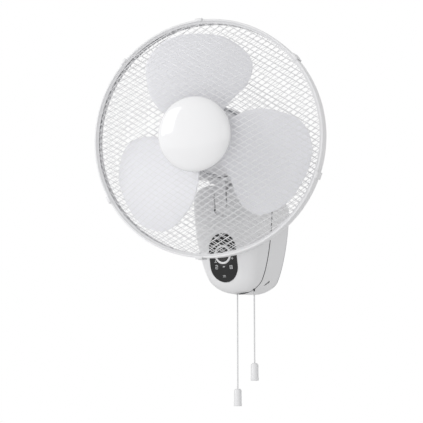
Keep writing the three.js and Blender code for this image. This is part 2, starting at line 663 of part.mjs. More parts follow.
const ARM_INNER = NECK_WIDTH / 2 + BRACKET_SIDE_PLAY;
const ARM_OUTER = ARM_INNER + BRACKET_SHEET;
const PIN_PLACE = [-TILT_DEPTH, TILT_Z];

function tiltBracket() {
  const back = -CAVITY_DEPTH - SEAT_GAP;
  const front = -TILT_DEPTH - BRACKET_ARM_END;
  const heights = [TILT_Z - BRACKET_ARM_HEIGHT / 2, TILT_Z + BRACKET_ARM_HEIGHT / 2];
  const across = [-BRACKET_PLATE_HALF_WIDTH, BRACKET_PLATE_HALF_WIDTH];
  const plate = block(across, [back - BRACKET_SHEET, back], heights);
  const sides = [[-ARM_OUTER, -ARM_INNER], [ARM_INNER, ARM_OUTER]];
  const arms = sides.map((x) => block(x, [front, back - 1], heights));
  return cut(toGeometry(joined(plate, ...arms)),
    rod('x', TILT_PIN_RADIUS + RUNNING_GAP, -ARM_OUTER - 1, ARM_OUTER + 1, PIN_PLACE));
}

const PIN_SEAT = ARM_OUTER + SEAT_GAP;
const PIN_END = PIN_SEAT + TILT_PIN_HEAD_LENGTH;
add(base, 'tilt_bracket', tiltBracket(), STEEL);
add(base, 'tilt_pin', joined(rod('x', TILT_PIN_RADIUS, -PIN_SEAT - 1, PIN_END + 1, PIN_PLACE),
  rod('x', TILT_PIN_HEAD_RADIUS, -PIN_END, -PIN_SEAT, PIN_PLACE)), STEEL);
add(base, 'tilt_nut', cut(rod('x', TILT_PIN_HEAD_RADIUS, PIN_SEAT, PIN_END, PIN_PLACE, 6),
  rod('x', TILT_PIN_RADIUS + RUNNING_GAP, PIN_SEAT - 1, PIN_END + 1, PIN_PLACE)), STEEL);

// ---------------------------------------------------------------- neck, in its own frame round the tilt pin

const POST_PLACE = [0, SWING_BEHIND_TILT];
const POST_FOOT = COLLAR_TOP - POST_DEPTH_IN_NECK;
const SOCKET_FOOT = MOTOR_ABOVE_TILT + SOCKET_BOTTOM;

function neck() {
  const collarFoot = COLLAR_TOP - COLLAR_HEIGHT;
  const side = new THREE.Shape();
  const frontAngle = Math.PI - Math.acos(NECK_FRONT / NECK_FOOT_RADIUS);
  const backAngle = Math.acos(NECK_BACK / NECK_FOOT_RADIUS);
  side.absarc(0, 0, NECK_FOOT_RADIUS, -frontAngle, -backAngle, false);
  const top = (collarFoot + COLLAR_TOP) / 2;
  side.lineTo(NECK_BACK, NECK_BACK_RISE);
  side.lineTo(SWING_BEHIND_TILT + COLLAR_RADIUS - COLLAR_OVERHANG, top);
  side.lineTo(SWING_BEHIND_TILT - COLLAR_RADIUS + COLLAR_OVERHANG, top);
  side.lineTo(-NECK_FRONT, NECK_FRONT_RISE);
  const arm = new THREE.ExtrudeGeometry(side, { depth: NECK_WIDTH, bevelEnabled: false, curveSegments: 12 });
  const stand = new THREE.Matrix4().makeBasis(
    new THREE.Vector3(0, 1, 0), new THREE.Vector3(0, 0, 1), new THREE.Vector3(1, 0, 0));
  arm.applyMatrix4(stand).translate(-NECK_WIDTH / 2, 0, 0);
  const reach = 2 * COLLAR_RADIUS;
  const tongue = plateXZ(slotShape(NECK_WIDTH, -NECK_FOOT_DROP, COLLAR_TOP), -reach, reach);
  const collar = rod('z', COLLAR_RADIUS, collarFoot, COLLAR_TOP, POST_PLACE, 36);
  const body = toSolid(arm).intersect(toSolid(tongue)).add(toSolid(collar));
  return cut(toGeometry(body),
    rod('x', TILT_PIN_RADIUS + RUNNING_GAP, -NECK_WIDTH, NECK_WIDTH),
    rod('z', POST_RADIUS + RUNNING_GAP, POST_FOOT - SEAT_GAP, COLLAR_TOP + 1, POST_PLACE));
}

function swingPost() {
  return joined(
    rod('z', POST_RADIUS, POST_FOOT, SOCKET_FOOT + POST_LENGTH_IN_SOCKET, POST_PLACE),
    rod('z', POST_SHOULDER_RADIUS, COLLAR_TOP + SEAT_GAP, SOCKET_FOOT - SEAT_GAP, POST_PLACE));
}

function linkStud() {
  const linkFoot = MOTOR_ABOVE_TILT + LINK_TOP - LINK_THICKNESS;
  const place = [STUD_REACH, SWING_BEHIND_TILT];
  return joined(
    rod('z', STUD_RADIUS, COLLAR_TOP + SEAT_GAP, linkFoot + LINK_THICKNESS, place, 12),
    rod('z', STUD_RADIUS + STUD_SHOULDER, COLLAR_TOP + SEAT_GAP, linkFoot - 4 * SEAT_GAP, place, 12));
}

add(neckGroup, 'neck', neck(), WHITE_PLASTIC);
add(neckGroup, 'swing_post', swingPost(), STEEL);
add(neckGroup, 'link_stud', linkStud(), STEEL);

// ---------------------------------------------------------------- head: guards

// Distance along the motor axis in the head's own frame, where +Y points back to the wall.
const ahead = (distance) => -RIM_AHEAD - distance;
const GUARD_RADIUS = RIM_RADIUS - RIM_WALL - SEAT_GAP;
const GUARD_EDGE = RIM_DEPTH / 2 - GUARD_SHEET;
const frontGuardAt = (r) => GUARD_EDGE + FRONT_GUARD_RISE * (1 - (r / GUARD_RADIUS) ** FRONT_GUARD_POWER);
const rearGuardAt = (r) => {
  const share = Math.max(r - REAR_CENTRE_RADIUS, 0) / (GUARD_RADIUS - REAR_CENTRE_RADIUS);
  return -GUARD_EDGE - REAR_GUARD_RISE * (1 - share ** REAR_GUARD_POWER);
};
const COVER_FRONT = ahead(rearGuardAt(0)) + SEAT_GAP;

// The lozenge openings of the mesh that lie between two radii, in the guard's plane.
function meshOpenings(inner, outer) {
  const direction = (angle) => new THREE.Vector2(Math.cos(degrees(angle)), Math.sin(degrees(angle)));
  const [u, v] = MESH_WIRE_ANGLES.map(direction);
  const between = degrees(MESH_WIRE_ANGLES[0] - MESH_WIRE_ANGLES[1]);
  const half = (MESH_SIDE - MESH_BAR / Math.sin(between)) / 2;
  const reach = Math.ceil((2 * outer) / MESH_SIDE);
  const openings = [];
  for (let i = -reach; i <= reach; i += 1) {
    for (let j = -reach; j <= reach; j += 1) {
      const middle = u.clone().multiplyScalar(i * MESH_SIDE).addScaledVector(v, j * MESH_SIDE);
      if (middle.length() < inner || middle.length() > outer) continue;
      const corners = [[1, 1], [1, -1], [-1, -1], [-1, 1]].map(([a, b]) =>
        middle.clone().addScaledVector(u, a * half).addScaledVector(v, b * half));
      openings.push(new THREE.Shape(corners));
    }
  }
  return openings;
}

// A flat disc of mesh, bent to the dome that the profile gives; its outer face follows the profile.
function guard(profile, bore, meshFrom, sign) {
  const meshTo = GUARD_RADIUS - GUARD_HOOP_WIDTH;
  const openings = toSolid(plateXZ(meshOpenings(meshFrom, meshTo), -GUARD_SHEET, 2 * GUARD_SHEET));
  const zone = toSolid(ring(meshFrom, meshTo, -2 * GUARD_SHEET, 3 * GUARD_SHEET, 48));
  const disc = toSolid(ring(bore, GUARD_RADIUS, 0, GUARD_SHEET, 48));
  const net = toGeometry(disc.subtract(openings.intersect(zone)));
  const place = net.getAttribute('position');
  for (let i = 0; i < place.count; i += 1) {
    const radius = Math.hypot(place.getX(i), place.getZ(i));
    const inward = sign > 0 ? place.getY(i) : place.getY(i) - GUARD_SHEET;
    place.setY(i, ahead(profile(radius)) + inward);
  }
  return net;
}

function guardClip(angle) {
  const outer = RIM_RADIUS + SEAT_GAP;
  const side = RIM_DEPTH / 2 + SEAT_GAP;
  const wrap = block([outer - CLIP_LIP, outer + CLIP_WALL],
    [ahead(side + CLIP_WALL), ahead(-side - CLIP_WALL)],
    [-CLIP_LENGTH / 2, CLIP_LENGTH / 2]);
  const room = block([outer - CLIP_LIP - 1, outer], [ahead(side), ahead(-side)], [-CLIP_LENGTH, CLIP_LENGTH]);
  return cut(wrap, room).rotateY(-degrees(angle));
}

function hubCap() {
  const edge = frontGuardAt(HUB_CAP_RADIUS) + SEAT_GAP;
  const dome = (inset) => {
    const points = [];
    for (let i = 0; i <= 5; i += 1) {
      const t = (i / 5) * (Math.PI / 2);
      const rise = HUB_CAP_EDGE + (HUB_CAP_BULGE - inset) * Math.sin(t);
      points.push([(HUB_CAP_RADIUS - inset) * Math.cos(t), ahead(edge + rise)]);
    }
    return points;
  };
  const outside = [[HUB_CAP_RADIUS, ahead(edge)], ...dome(0)].reverse();
  const inside = [[HUB_CAP_RADIUS - HUB_CAP_WALL, ahead(edge)], ...dome(HUB_CAP_WALL)];
  return turned([...outside, ...inside], 32);
}

add(head, 'front_guard', guard(frontGuardAt, FRONT_GUARD_BORE, FRONT_CENTRE_RADIUS, 1), WHITE_WIRE);
add(head, 'rear_guard', guard(rearGuardAt, NOSE_RADIUS + SEAT_GAP, REAR_CENTRE_RADIUS, -1), WHITE_WIRE);
add(head, 'guard_rim',
  ring(RIM_RADIUS - RIM_WALL, RIM_RADIUS, ahead(RIM_DEPTH / 2), ahead(-RIM_DEPTH / 2), 48), WHITE_PLASTIC);
CLIP_ANGLES.forEach((angle, i) => add(head, `guard_clip_${i + 1}`, guardClip(angle), WHITE_PLASTIC));
add(head, 'hub_cap', hubCap(), GLOSS_WHITE);

// ---------------------------------------------------------------- head: motor

const NOSE_FRONT = COVER_FRONT - NOSE_LENGTH;
const BEARING_BORE = BEARING_RADIUS + SEAT_GAP;
const FRAME_TUBE_INNER = STATOR_RADIUS + SEAT_GAP;
const FRAME_TUBE_OUTER = FRAME_TUBE_INNER + FRAME_TUBE_WALL;
const CRANK_REACH = STUD_REACH * Math.sin(degrees(SWING_HALF_ANGLE));
const STUD_SHIFT = STUD_REACH * (1 - Math.cos(degrees(SWING_HALF_ANGLE)));
const CRANK_PLACE = [STUD_REACH - (STUD_SHIFT + CRANK_REACH) / 2, LINK_LENGTH];
const CRANK_DISC_FOOT = LINK_TOP + SEAT_GAP;
const CRANK_DISC_HEAD = CRANK_DISC_FOOT + CRANK_DISC_THICKNESS;
const MOTOR_FOOT = CRANK_DISC_HEAD + CRANK_ROOM;
const SHELF_FOOT = MOTOR_FOOT + SWING_MOTOR_HEIGHT + SEAT_GAP;
const BEARING_RIM = BEARING_BORE - BEARING_LIP;

function motorFrame() {
  const plateBack = COVER_FRONT + FRAME_PLATE;
  const housingBack = FRAME_BACK + BEARING_WIDTH + 1;
  const plate = ring(BEARING_RIM, COVER_RADIUS - COVER_WALL - SEAT_GAP, COVER_FRONT, plateBack, COVER_SIDES);
  const nose = ring(BEARING_RIM, NOSE_RADIUS, NOSE_FRONT, COVER_FRONT + 1, 20);
  const tube = ring(FRAME_TUBE_INNER, FRAME_TUBE_OUTER, COVER_FRONT + 1, FRAME_BACK, 20);
  const backPlate = ring(BEARING_RIM, FRAME_TUBE_OUTER - 1, FRAME_BACK - FRAME_PLATE, FRAME_BACK, 20);
  const rearHousing = ring(BEARING_RIM, BEARING_BORE + BEARING_WALL, FRAME_BACK - 1, housingBack, 20);
  const socket = rod('z', SOCKET_RADIUS, SOCKET_BOTTOM, SOCKET_TOP);
  const web = block([-FRAME_WEB / 2, FRAME_WEB / 2], [FRAME_BACK - FRAME_PLATE / 2, 2],
    [SOCKET_BOTTOM + 6, SOCKET_TOP]);
  const [crankX, crankY] = CRANK_PLACE;
  const shelf = block([crankX - SWING_MOTOR_RADIUS - SHELF_SIDE, crankX + SWING_MOTOR_RADIUS],
    [0, crankY + SWING_MOTOR_RADIUS], [SHELF_FOOT, SHELF_FOOT + SHELF_THICKNESS]);
  const windows = [0, 90].map((turn) =>
    block([-COVER_RADIUS, COVER_RADIUS], [STATOR_FRONT - 2, FRAME_BACK - FRAME_PLATE - 1],
      [-FRAME_WINDOW / 2, FRAME_WINDOW / 2]).rotateY(degrees(turn + 45)));
  const cage = cut(tube, ...windows);
  const below = block([-COVER_RADIUS, COVER_RADIUS], [COVER_FRONT - 1, plateBack + 1],
    [-2 * COVER_RADIUS, COVER_BOTTOM + COVER_WALL + SEAT_GAP]);
  return cut(toGeometry(joined(cage, cut(plate, below), nose, backPlate, rearHousing, socket, web, shelf)),
    rod('y', BEARING_BORE, NOSE_FRONT - 1, NOSE_FRONT + BEARING_WIDTH + 1),
    rod('y', BEARING_BORE, FRAME_BACK + 1, FRAME_BACK + BEARING_WIDTH + 2),
    rod('z', POST_RADIUS + RUNNING_GAP, SOCKET_BOTTOM - 1, SOCKET_BOTTOM + POST_LENGTH_IN_SOCKET + 2));
}

// The cover's body, drawn in all round by inset: a round pot over a wider skirt, flat below.
function coverBody(inset) {
  const radius = COVER_RADIUS - inset;
  const back = COVER_BACK - inset;
  const rounding = COVER_ROUNDING;
  const corner = [];
  for (let i = 0; i <= 3; i += 1) {
    const t = (i / 3) * (Math.PI / 2);
    corner.push([radius - rounding + rounding * Math.cos(t), back - rounding + rounding * Math.sin(t)]);
  }
  const front = COVER_FRONT - inset;
  const pot = turned([[0, front], [radius, front], ...corner, [0, back]], COVER_SIDES);
  const halfWidth = SKIRT_HALF_WIDTH - inset;
  const round = SKIRT_CORNER - inset;
  const [side, near, far] = [halfWidth - round, SKIRT_FRONT + inset + round, SKIRT_BACK - inset - round];
  const plan = new THREE.Shape();
  plan.absarc(side, near, round, -Math.PI / 2, 0, false);
  plan.absarc(side, far, round, 0, Math.PI / 2, false);
  plan.absarc(-side, far, round, Math.PI / 2, Math.PI, false);
  plan.absarc(-side, near, round, Math.PI, 1.5 * Math.PI, false);
  const skirt = plateXY(plan, COVER_BOTTOM + inset, SKIRT_TOP);
  const reach = 2 * COVER_RADIUS;
  const above = block([-reach, reach], [-reach, reach], [COVER_BOTTOM + inset, reach]);
  return joined(pot, skirt).intersect(toSolid(above));
}

function motorCover() {
  const shell = coverBody(0).subtract(coverBody(COVER_WALL));
  const hole = rod('z', COVER_HOLE_RADIUS, COVER_BOTTOM - 1, COVER_BOTTOM + COVER_WALL + 1, [0, 0], 36);
  return cut(toGeometry(shell), hole);
}

const GUARD_NUT_BACK = ahead(rearGuardAt(0)) - GUARD_SHEET - SEAT_GAP;
const WINDING_FRONT = STATOR_FRONT - SEAT_GAP - WINDING_LENGTH;
const WINDING_REAR = STATOR_BACK + SEAT_GAP;
const bearing = (from) => ring(SHAFT_RADIUS + RUNNING_GAP, BEARING_RADIUS, from, from + BEARING_WIDTH, 20);
const winding = (from) => ring(WINDING_INNER, WINDING_OUTER, from, from + WINDING_LENGTH, 20);

add(head, 'motor_frame', motorFrame(), ALUMINIUM);
add(head, 'motor_cover', motorCover(), WHITE_PLASTIC);
add(head, 'stator', ring(STATOR_BORE, STATOR_RADIUS, STATOR_FRONT, STATOR_BACK, 20), STEEL);
add(head, 'winding_front', winding(WINDING_FRONT), COPPER);
add(head, 'winding_rear', winding(WINDING_REAR), COPPER);
add(head, 'bearing_front', bearing(NOSE_FRONT), STEEL);
add(head, 'bearing_rear', bearing(FRAME_BACK + 1 + SEAT_GAP), STEEL);
add(head, 'guard_nut', ring(NOSE_RADIUS + SEAT_GAP, GUARD_NUT_RADIUS,
  GUARD_NUT_BACK - GUARD_NUT_LENGTH, GUARD_NUT_BACK, 20), WHITE_PLASTIC);

// ---------------------------------------------------------------- head: swing drive

// The crank, at the angle that goes with the head's swing at rest.
const crankAngle = -(90 / SWING_HALF_ANGLE) * SWING_AT_REST;
const crankPin = new THREE.Vector2(CRANK_REACH, 0).rotateAround(new THREE.Vector2(), degrees(crankAngle));
const CRANK_PIN_PLACE = [CRANK_PLACE[0] + crankPin.x, CRANK_PLACE[1] + crankPin.y];

function swingMotor() {
  return joined(
    rod('z', SWING_MOTOR_RADIUS, MOTOR_FOOT, SHELF_FOOT - SEAT_GAP, CRANK_PLACE),
    rod('z', CRANK_SHAFT_RADIUS, CRANK_DISC_FOOT, MOTOR_FOOT + 1, CRANK_PLACE, 12));
}

function swingCrank() {
  const disc = rod('z', CRANK_DISC_RADIUS, CRANK_DISC_FOOT, CRANK_DISC_HEAD, CRANK_PLACE);
  const pin = rod('z', CRANK_PIN_RADIUS, LINK_TOP - LINK_THICKNESS, CRANK_DISC_FOOT + 1, CRANK_PIN_PLACE, 12);
  return cut(toGeometry(joined(disc, pin)),
    rod('z', CRANK_SHAFT_RADIUS + RUNNING_GAP, CRANK_DISC_FOOT - 1, CRANK_DISC_HEAD + 1, CRANK_PLACE, 12));
}

// The link keeps its direction; the eye round the stud is wide enough for the stud's small side steps.
function swingLink() {
  const foot = LINK_TOP - LINK_THICKNESS;
  const [x, y] = CRANK_PIN_PLACE;
  const eyeBore = STUD_RADIUS + (CRANK_REACH - STUD_SHIFT) / 2 + RUNNING_GAP;
  const bar = block([x - LINK_HALF_WIDTH, x + LINK_HALF_WIDTH], [y - LINK_LENGTH, y], [foot, LINK_TOP]);
  const eyes = joined(bar,
    rod('z', CRANK_PIN_RADIUS + CRANK_EYE_WALL, foot, LINK_TOP, [x, y], 24),
    rod('z', eyeBore + LINK_EYE_WALL, foot, LINK_TOP, [x, y - LINK_LENGTH]));
  return cut(toGeometry(eyes),
    rod('z', CRANK_PIN_RADIUS + RUNNING_GAP, foot - 1, LINK_TOP + 1, [x, y], 12),
    rod('z', eyeBore, foot - 1, LINK_TOP + 1, [x, y - LINK_LENGTH]));
}

add(head, 'swing_motor', swingMotor(), ALUMINIUM);
add(head, 'swing_crank', swingCrank(), NYLON);
add(head, 'swing_link', swingLink(), STEEL);

// ---------------------------------------------------------------- rotor: core, shaft, blades

// One blade as a closed skin between its leading and trailing edges, from inside the hub to the tip.
function blade(turn) {
  const tip = RIM_RADIUS - BLADE_TIP_GAP;
  const edge = (points) => new THREE.SplineCurve(points.map(([r, a]) => new THREE.Vector2(r * tip, a)));
  const [lead, trail] = [edge(BLADE_LEADING_EDGE), edge(BLADE_TRAILING_EDGE)];
  const sides = [BLADE_THICKNESS / 2, -BLADE_THICKNESS / 2].map((offset) => {
    const points = [];
    for (let i = 0; i <= BLADE_ROWS; i += 1) {
      const along = 1 - (1 - i / BLADE_ROWS) ** 1.25;
      const [from, to] = [lead.getPoint(along), trail.getPoint(along)];
      for (let j = 0; j <= BLADE_COLUMNS; j += 1) {
        const at = from.clone().lerp(to, j / BLADE_COLUMNS);
        const share = at.x / tip;
        const pitch = degrees(BLADE_ROOT_PITCH + (BLADE_TIP_PITCH - BLADE_ROOT_PITCH) * share);
        const centre = BLADE_ROOT_AHEAD + (BLADE_TIP_AHEAD - BLADE_ROOT_AHEAD) * share;
        const rise = centre + at.x * degrees(at.y) * Math.tan(pitch) * (1 - 0.25 * share) + offset;
        const round = degrees(at.y + turn);
        points.push(new THREE.Vector3(at.x * Math.cos(round), ahead(rise), at.x * Math.sin(round)));
      }
    }
    return points;
  });
  const across = BLADE_COLUMNS + 1;
  const size = sides[0].length;
  const faces = [];
  const quad = (a, b, c, d) => faces.push(a, b, c, a, c, d);
  for (let i = 0; i < BLADE_ROWS; i += 1) {
    for (let j = 0; j < BLADE_COLUMNS; j += 1) {
      const a = i * across + j;
      quad(a, a + across, a + across + 1, a + 1);
      quad(size + a, size + a + 1, size + a + across + 1, size + a + across);
    }
    const a = i * across;
    const b = a + BLADE_COLUMNS;
    quad(a, size + a, size + a + across, a + across);
    quad(b, b + across, size + b + across, size + b);
  }
  for (let j = 0; j < BLADE_COLUMNS; j += 1) {
    const far = BLADE_ROWS * across + j;
    quad(j, j + 1, size + j + 1, size + j);
    quad(far, size + far, size + far + 1, far + 1);
  }
  const geometry = new THREE.BufferGeometry().setFromPoints(sides.flat());
  geometry.setIndex(faces);
  return geometry;
}

function fanBlades() {
  const hub = ring(SHAFT_RADIUS + RUNNING_GAP, HUB_RADIUS, ahead(HUB_FRONT), ahead(HUB_BACK), 30);
  const turns = Array.from({ length: BLADE_COUNT }, (_, i) => BLADE_FIRST_ANGLE + (360 / BLADE_COUNT) * i);
  const blades = turns.map(blade);
  const clear = rod('y', SHAFT_RADIUS + RUNNING_GAP, ahead(HUB_FRONT + 20), ahead(HUB_BACK - 30));
  return cut(toGeometry(joined(hub, ...blades)), clear);
}

const NUT_BACK = HUB_FRONT + SEAT_GAP;
const SHAFT_FRONT = HUB_FRONT + (2 / 3) * BLADE_NUT_LENGTH;
add(head, 'fan_blades', fanBlades(), BLADE_PLASTIC);
add(head, 'rotor_core', ring(SHAFT_RADIUS + RUNNING_GAP, ROTOR_RADIUS, STATOR_FRONT, STATOR_BACK, 20), STEEL);
add(head, 'motor_shaft', rod('y', SHAFT_RADIUS, ahead(SHAFT_FRONT), SHAFT_BACK), STEEL);
add(head, 'blade_nut', cut(
  rod('y', BLADE_NUT_RADIUS, ahead(NUT_BACK + BLADE_NUT_LENGTH), ahead(NUT_BACK), [0, 0], 20),
  rod('y', SHAFT_RADIUS + RUNNING_GAP, ahead(SHAFT_FRONT + 1), ahead(NUT_BACK - 1))), WHITE_PLASTIC);

export default fan;
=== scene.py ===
# Wall mounted fan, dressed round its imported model. Metres, +Z up; the wall is the plane Y = 0.
# The sections follow the fan as it is put together: cords, base, control panel, neck, motor, guards, blades.

import math

import bmesh
import bpy
from mathutils import Matrix, Vector
from mathutils.geometry import interpolate_bezier


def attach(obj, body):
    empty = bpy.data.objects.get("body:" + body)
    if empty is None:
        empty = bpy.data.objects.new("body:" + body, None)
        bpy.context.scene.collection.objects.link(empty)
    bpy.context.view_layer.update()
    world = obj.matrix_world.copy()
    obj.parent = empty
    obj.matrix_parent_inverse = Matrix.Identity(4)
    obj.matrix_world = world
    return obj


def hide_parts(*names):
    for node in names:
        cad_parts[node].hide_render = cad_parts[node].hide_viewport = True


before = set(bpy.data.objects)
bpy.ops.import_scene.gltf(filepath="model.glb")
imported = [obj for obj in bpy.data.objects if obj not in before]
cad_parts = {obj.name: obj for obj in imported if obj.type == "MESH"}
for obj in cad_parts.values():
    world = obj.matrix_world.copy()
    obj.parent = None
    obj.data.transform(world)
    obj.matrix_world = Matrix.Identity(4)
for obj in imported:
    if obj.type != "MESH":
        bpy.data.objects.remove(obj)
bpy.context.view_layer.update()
MM = 0.001

# ---------------------------------------------------------------- camera
# It stands to the right of the fan and a little below it, 2.56 m away, and looks up through a long lens.

AZIMUTH, ELEVATION = math.radians(34), math.radians(-9)
CAMERA_DISTANCE = 2.56
LENS = 114.55                  # on a sensor 36 wide
LOOK_AT = Vector((-31.2, -109.7, 55.35)) * MM
outward = Vector((math.sin(AZIMUTH) * math.cos(ELEVATION),
                  -math.cos(AZIMUTH) * math.cos(ELEVATION),
                  math.sin(ELEVATION)))
camera_data = bpy.data.cameras.new("camera")
camera_data.sensor_width = 36
camera_data.lens = LENS
camera = bpy.data.objects.new("camera", camera_data)
camera.location = LOOK_AT + outward * CAMERA_DISTANCE
camera.rotation_euler = outward.to_track_quat("Z", "Y").to_euler()
bpy.context.collection.objects.link(camera)
bpy.context.scene.camera = camera

# ---------------------------------------------------------------- pull cords
# Two thin braided cords hang straight down out of the seam of the base, drawn taut by their grips.
# One steps through the speeds, the other starts and stops the swing.

CORD_PLANE = -59 * MM
CORD_DIAMETER = 2.6 * MM
CORD_COLOUR = (0.74, 0.74, 0.75, 1)
CORD_POINTS = 16
CORD_BRAID_PER_METRE = 420
CORD_BRAID_LEAN = 35           # degrees
# painted shade: the share of the colour left where the strands dip, between them
CORD_HOLLOW_PAINTED_SHADE = 0.8             # of the colour, between the strands
CORDS = {  # X, height where it leaves the base, height where the grip begins
    "speed": (-5.7 * MM, -99.5 * MM, -278 * MM),
    "swing": (32 * MM, -96.6 * MM, -231 * MM),
}


def new_material(name):
    """A material with its nodes, links and shader."""
    material = bpy.data.materials.new(name)
    material.use_nodes = True
    nodes = material.node_tree.nodes
    return material, nodes, material.node_tree.links, nodes["Principled BSDF"]


def tinted(nodes, links, shader, colour, darkest, amount):
    """Gives the shader its colour, from a darkest share of it up to the whole, by an amount."""
    tint = nodes.new("ShaderNodeMix")
    tint.data_type = "RGBA"
    tint.inputs[6].default_value = [c * darkest for c in colour[:3]] + [1]
    tint.inputs[7].default_value = colour
    links.new(amount, tint.inputs[0])
    links.new(tint.outputs[2], shader.inputs["Base Color"])


def embossed(nodes, links, shader, height, strength, distance):
    """Gives the shader a bump from a height."""
    bump = nodes.new("ShaderNodeBump")
    bump.inputs["Strength"].default_value = strength
    bump.inputs["Distance"].default_value = distance
    links.new(height, bump.inputs["Height"])
    links.new(bump.outputs["Normal"], shader.inputs["Normal"])


def braided(name, colour):
    """Two sets of strands that wind round the cord in opposite directions, with painted shade in the hollows
    between them.
    """
    material, nodes, links, shader = new_material(name)
    place = nodes.new("ShaderNodeTexCoord")
    heights = []
    for lean in (CORD_BRAID_LEAN, -CORD_BRAID_LEAN):
        turn = nodes.new("ShaderNodeMapping")
        turn.inputs["Rotation"].default_value = (0, math.radians(lean), math.radians(lean))
        strands = nodes.new("ShaderNodeTexWave")
        strands.bands_direction = "Z"
        strands.inputs["Scale"].default_value = CORD_BRAID_PER_METRE
        links.new(place.outputs["Object"], turn.inputs["Vector"])
        links.new(turn.outputs["Vector"], strands.inputs["Vector"])
        heights.append(strands.outputs["Fac"])
    # painted shade: the colour is darker where neither set of strands stands high
    over = nodes.new("ShaderNodeMath")
    over.operation = "MAXIMUM"
    links.new(heights[0], over.inputs[0])
    links.new(heights[1], over.inputs[1])
    tinted(nodes, links, shader, colour, CORD_HOLLOW_PAINTED_SHADE, over.outputs[0])
    embossed(nodes, links, shader, over.outputs[0], 0.6, 0.2 * MM)
    shader.inputs["Roughness"].default_value = 0.85
    shader.inputs["Sheen Weight"].default_value = 0.2
    return material


CORD_FINISH = braided("braided_cord", CORD_COLOUR)


def pull_cord(kind, x, top, bottom):
    """The cord as one open line with a round section."""
    curve = bpy.data.curves.new(f"{kind}_pull_cord", "CURVE")
    curve.dimensions = "3D"
    curve.bevel_depth = CORD_DIAMETER / 2
    curve.bevel_resolution = 3
    curve.use_fill_caps = True
    line = curve.splines.new("POLY")
    line.points.add(CORD_POINTS - 1)
    for i, point in enumerate(line.points):
        point.co = (x, CORD_PLANE, top + (bottom - top) * i / (CORD_POINTS - 1), 1)
    curve.materials.append(CORD_FINISH)
    cord = bpy.data.objects.new(f"{kind}_pull_cord", curve)
    bpy.context.collection.objects.link(cord)
    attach(cord, f"{kind}_pull")
    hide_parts(f"{kind}_cord")
    return cord


cord_pieces = {kind: pull_cord(kind, *route) for kind, route in CORDS.items()}

# ---------------------------------------------------------------- grips of the pull cords
# Small bell-ended grips, turned in form and moulded in pale satin plastic.
# The cord is knotted inside, so the lower end is hollow.

GRIP_RADIUS = 7.2 * MM
GRIP_LIP_RADIUS = 7.8 * MM
GRIP_LENGTH = 32.4 * MM
GRIP_GAP = 0.3 * MM
GRIP_MOUTH_DEPTH = 9 * MM      # of the hollow at the lower end
GRIP_COLOUR = (0.76, 0.76, 0.77, 1)
GRAIN_PER_METRE = 1400
CLOUDS_PER_METRE = 14


def turned(profile, steps=96, closed=False):
    """A skin turned about Z from points of radius and height."""
    bm = bmesh.new()
    verts = [bm.verts.new((radius, 0, height)) for radius, height in profile]
    pairs = list(zip(verts, verts[1:])) + ([(verts[-1], verts[0])] if closed else [])
    edges = [bm.edges.new(pair) for pair in pairs]
    bmesh.ops.spin(bm, geom=verts + edges, cent=(0, 0, 0), axis=(0, 0, 1),
                   angle=2 * math.pi, steps=steps, use_merge=True)
    bmesh.ops.remove_doubles(bm, verts=bm.verts, dist=0.001 * MM)
    bmesh.ops.recalc_face_normals(bm, faces=bm.faces)
    return bm


def placed(bm, matrix):
    """A bmesh moved to its place."""
    bmesh.ops.transform(bm, verts=bm.verts, matrix=matrix)
    return bm


def soften(bm, offset, segments=3, sharper_than=35):
    """Rounds every edge that is sharper than an angle in degrees."""
    limit = math.radians(sharper_than)
    edges = [e for e in bm.edges if len(e.link_faces) == 2 and e.calc_face_angle() > limit]
    bmesh.ops.bevel(bm, geom=edges, offset=offset, segments=segments, profile=0.5,
                    affect="EDGES", material=-1, clamp_overlap=True)
    return bm


def make_piece(bm, name, body, slot, finish, *cad_nodes, smooth=38):
    """A finished piece from a bmesh that lies in its place."""
    mesh = bpy.data.meshes.new(name)
    bm.to_mesh(mesh)
    bm.free()
    mesh.materials.clear()
    mesh.materials.append(finish)
    mesh.shade_smooth()
    mesh.set_sharp_from_angle(angle=math.radians(smooth))
    piece = bpy.data.objects.new(name, mesh)
    bpy.context.collection.objects.link(piece)
    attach(piece, body)
    if cad_nodes:
        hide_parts(*cad_nodes)
    return piece


def noise(nodes, links, vector, scale, detail):
    """The strength of a noise at each place."""
    texture = nodes.new("ShaderNodeTexNoise")
    texture.inputs["Scale"].default_value = scale
    texture.inputs["Detail"].default_value = detail
    links.new(vector, texture.inputs["Vector"])
    return texture.outputs["Fac"]


def glossed(nodes, links, shader, roughness, spread, amount):
    """Gives the shader a roughness that varies by a share of itself either way."""
    gloss = nodes.new("ShaderNodeMapRange")
    gloss.inputs["To Min"].default_value = roughness * (1 - spread)
    gloss.inputs["To Max"].default_value = roughness * (1 + spread)
    links.new(amount, gloss.inputs["Value"])
    links.new(gloss.outputs["Result"], shader.inputs["Roughness"])


def moulded(name, colour, roughness, grain=0.12, mottle=0.03, coat=0.0):
    """Moulded plastic: one colour with faint clouds, a fine grain, and gloss that varies a little."""
    material, nodes, links, shader = new_material(name)
    place = nodes.new("ShaderNodeTexCoord").outputs["Object"]
    clouds = noise(nodes, links, place, CLOUDS_PER_METRE, 3)
    tinted(nodes, links, shader, colour, 1 - mottle, clouds)
    glossed(nodes, links, shader, roughness, 0.15, clouds)
    embossed(nodes, links, shader, noise(nodes, links, place, GRAIN_PER_METRE, 2), grain, 0.05 * MM)
    shader.inputs["Coat Weight"].default_value = coat
    return material


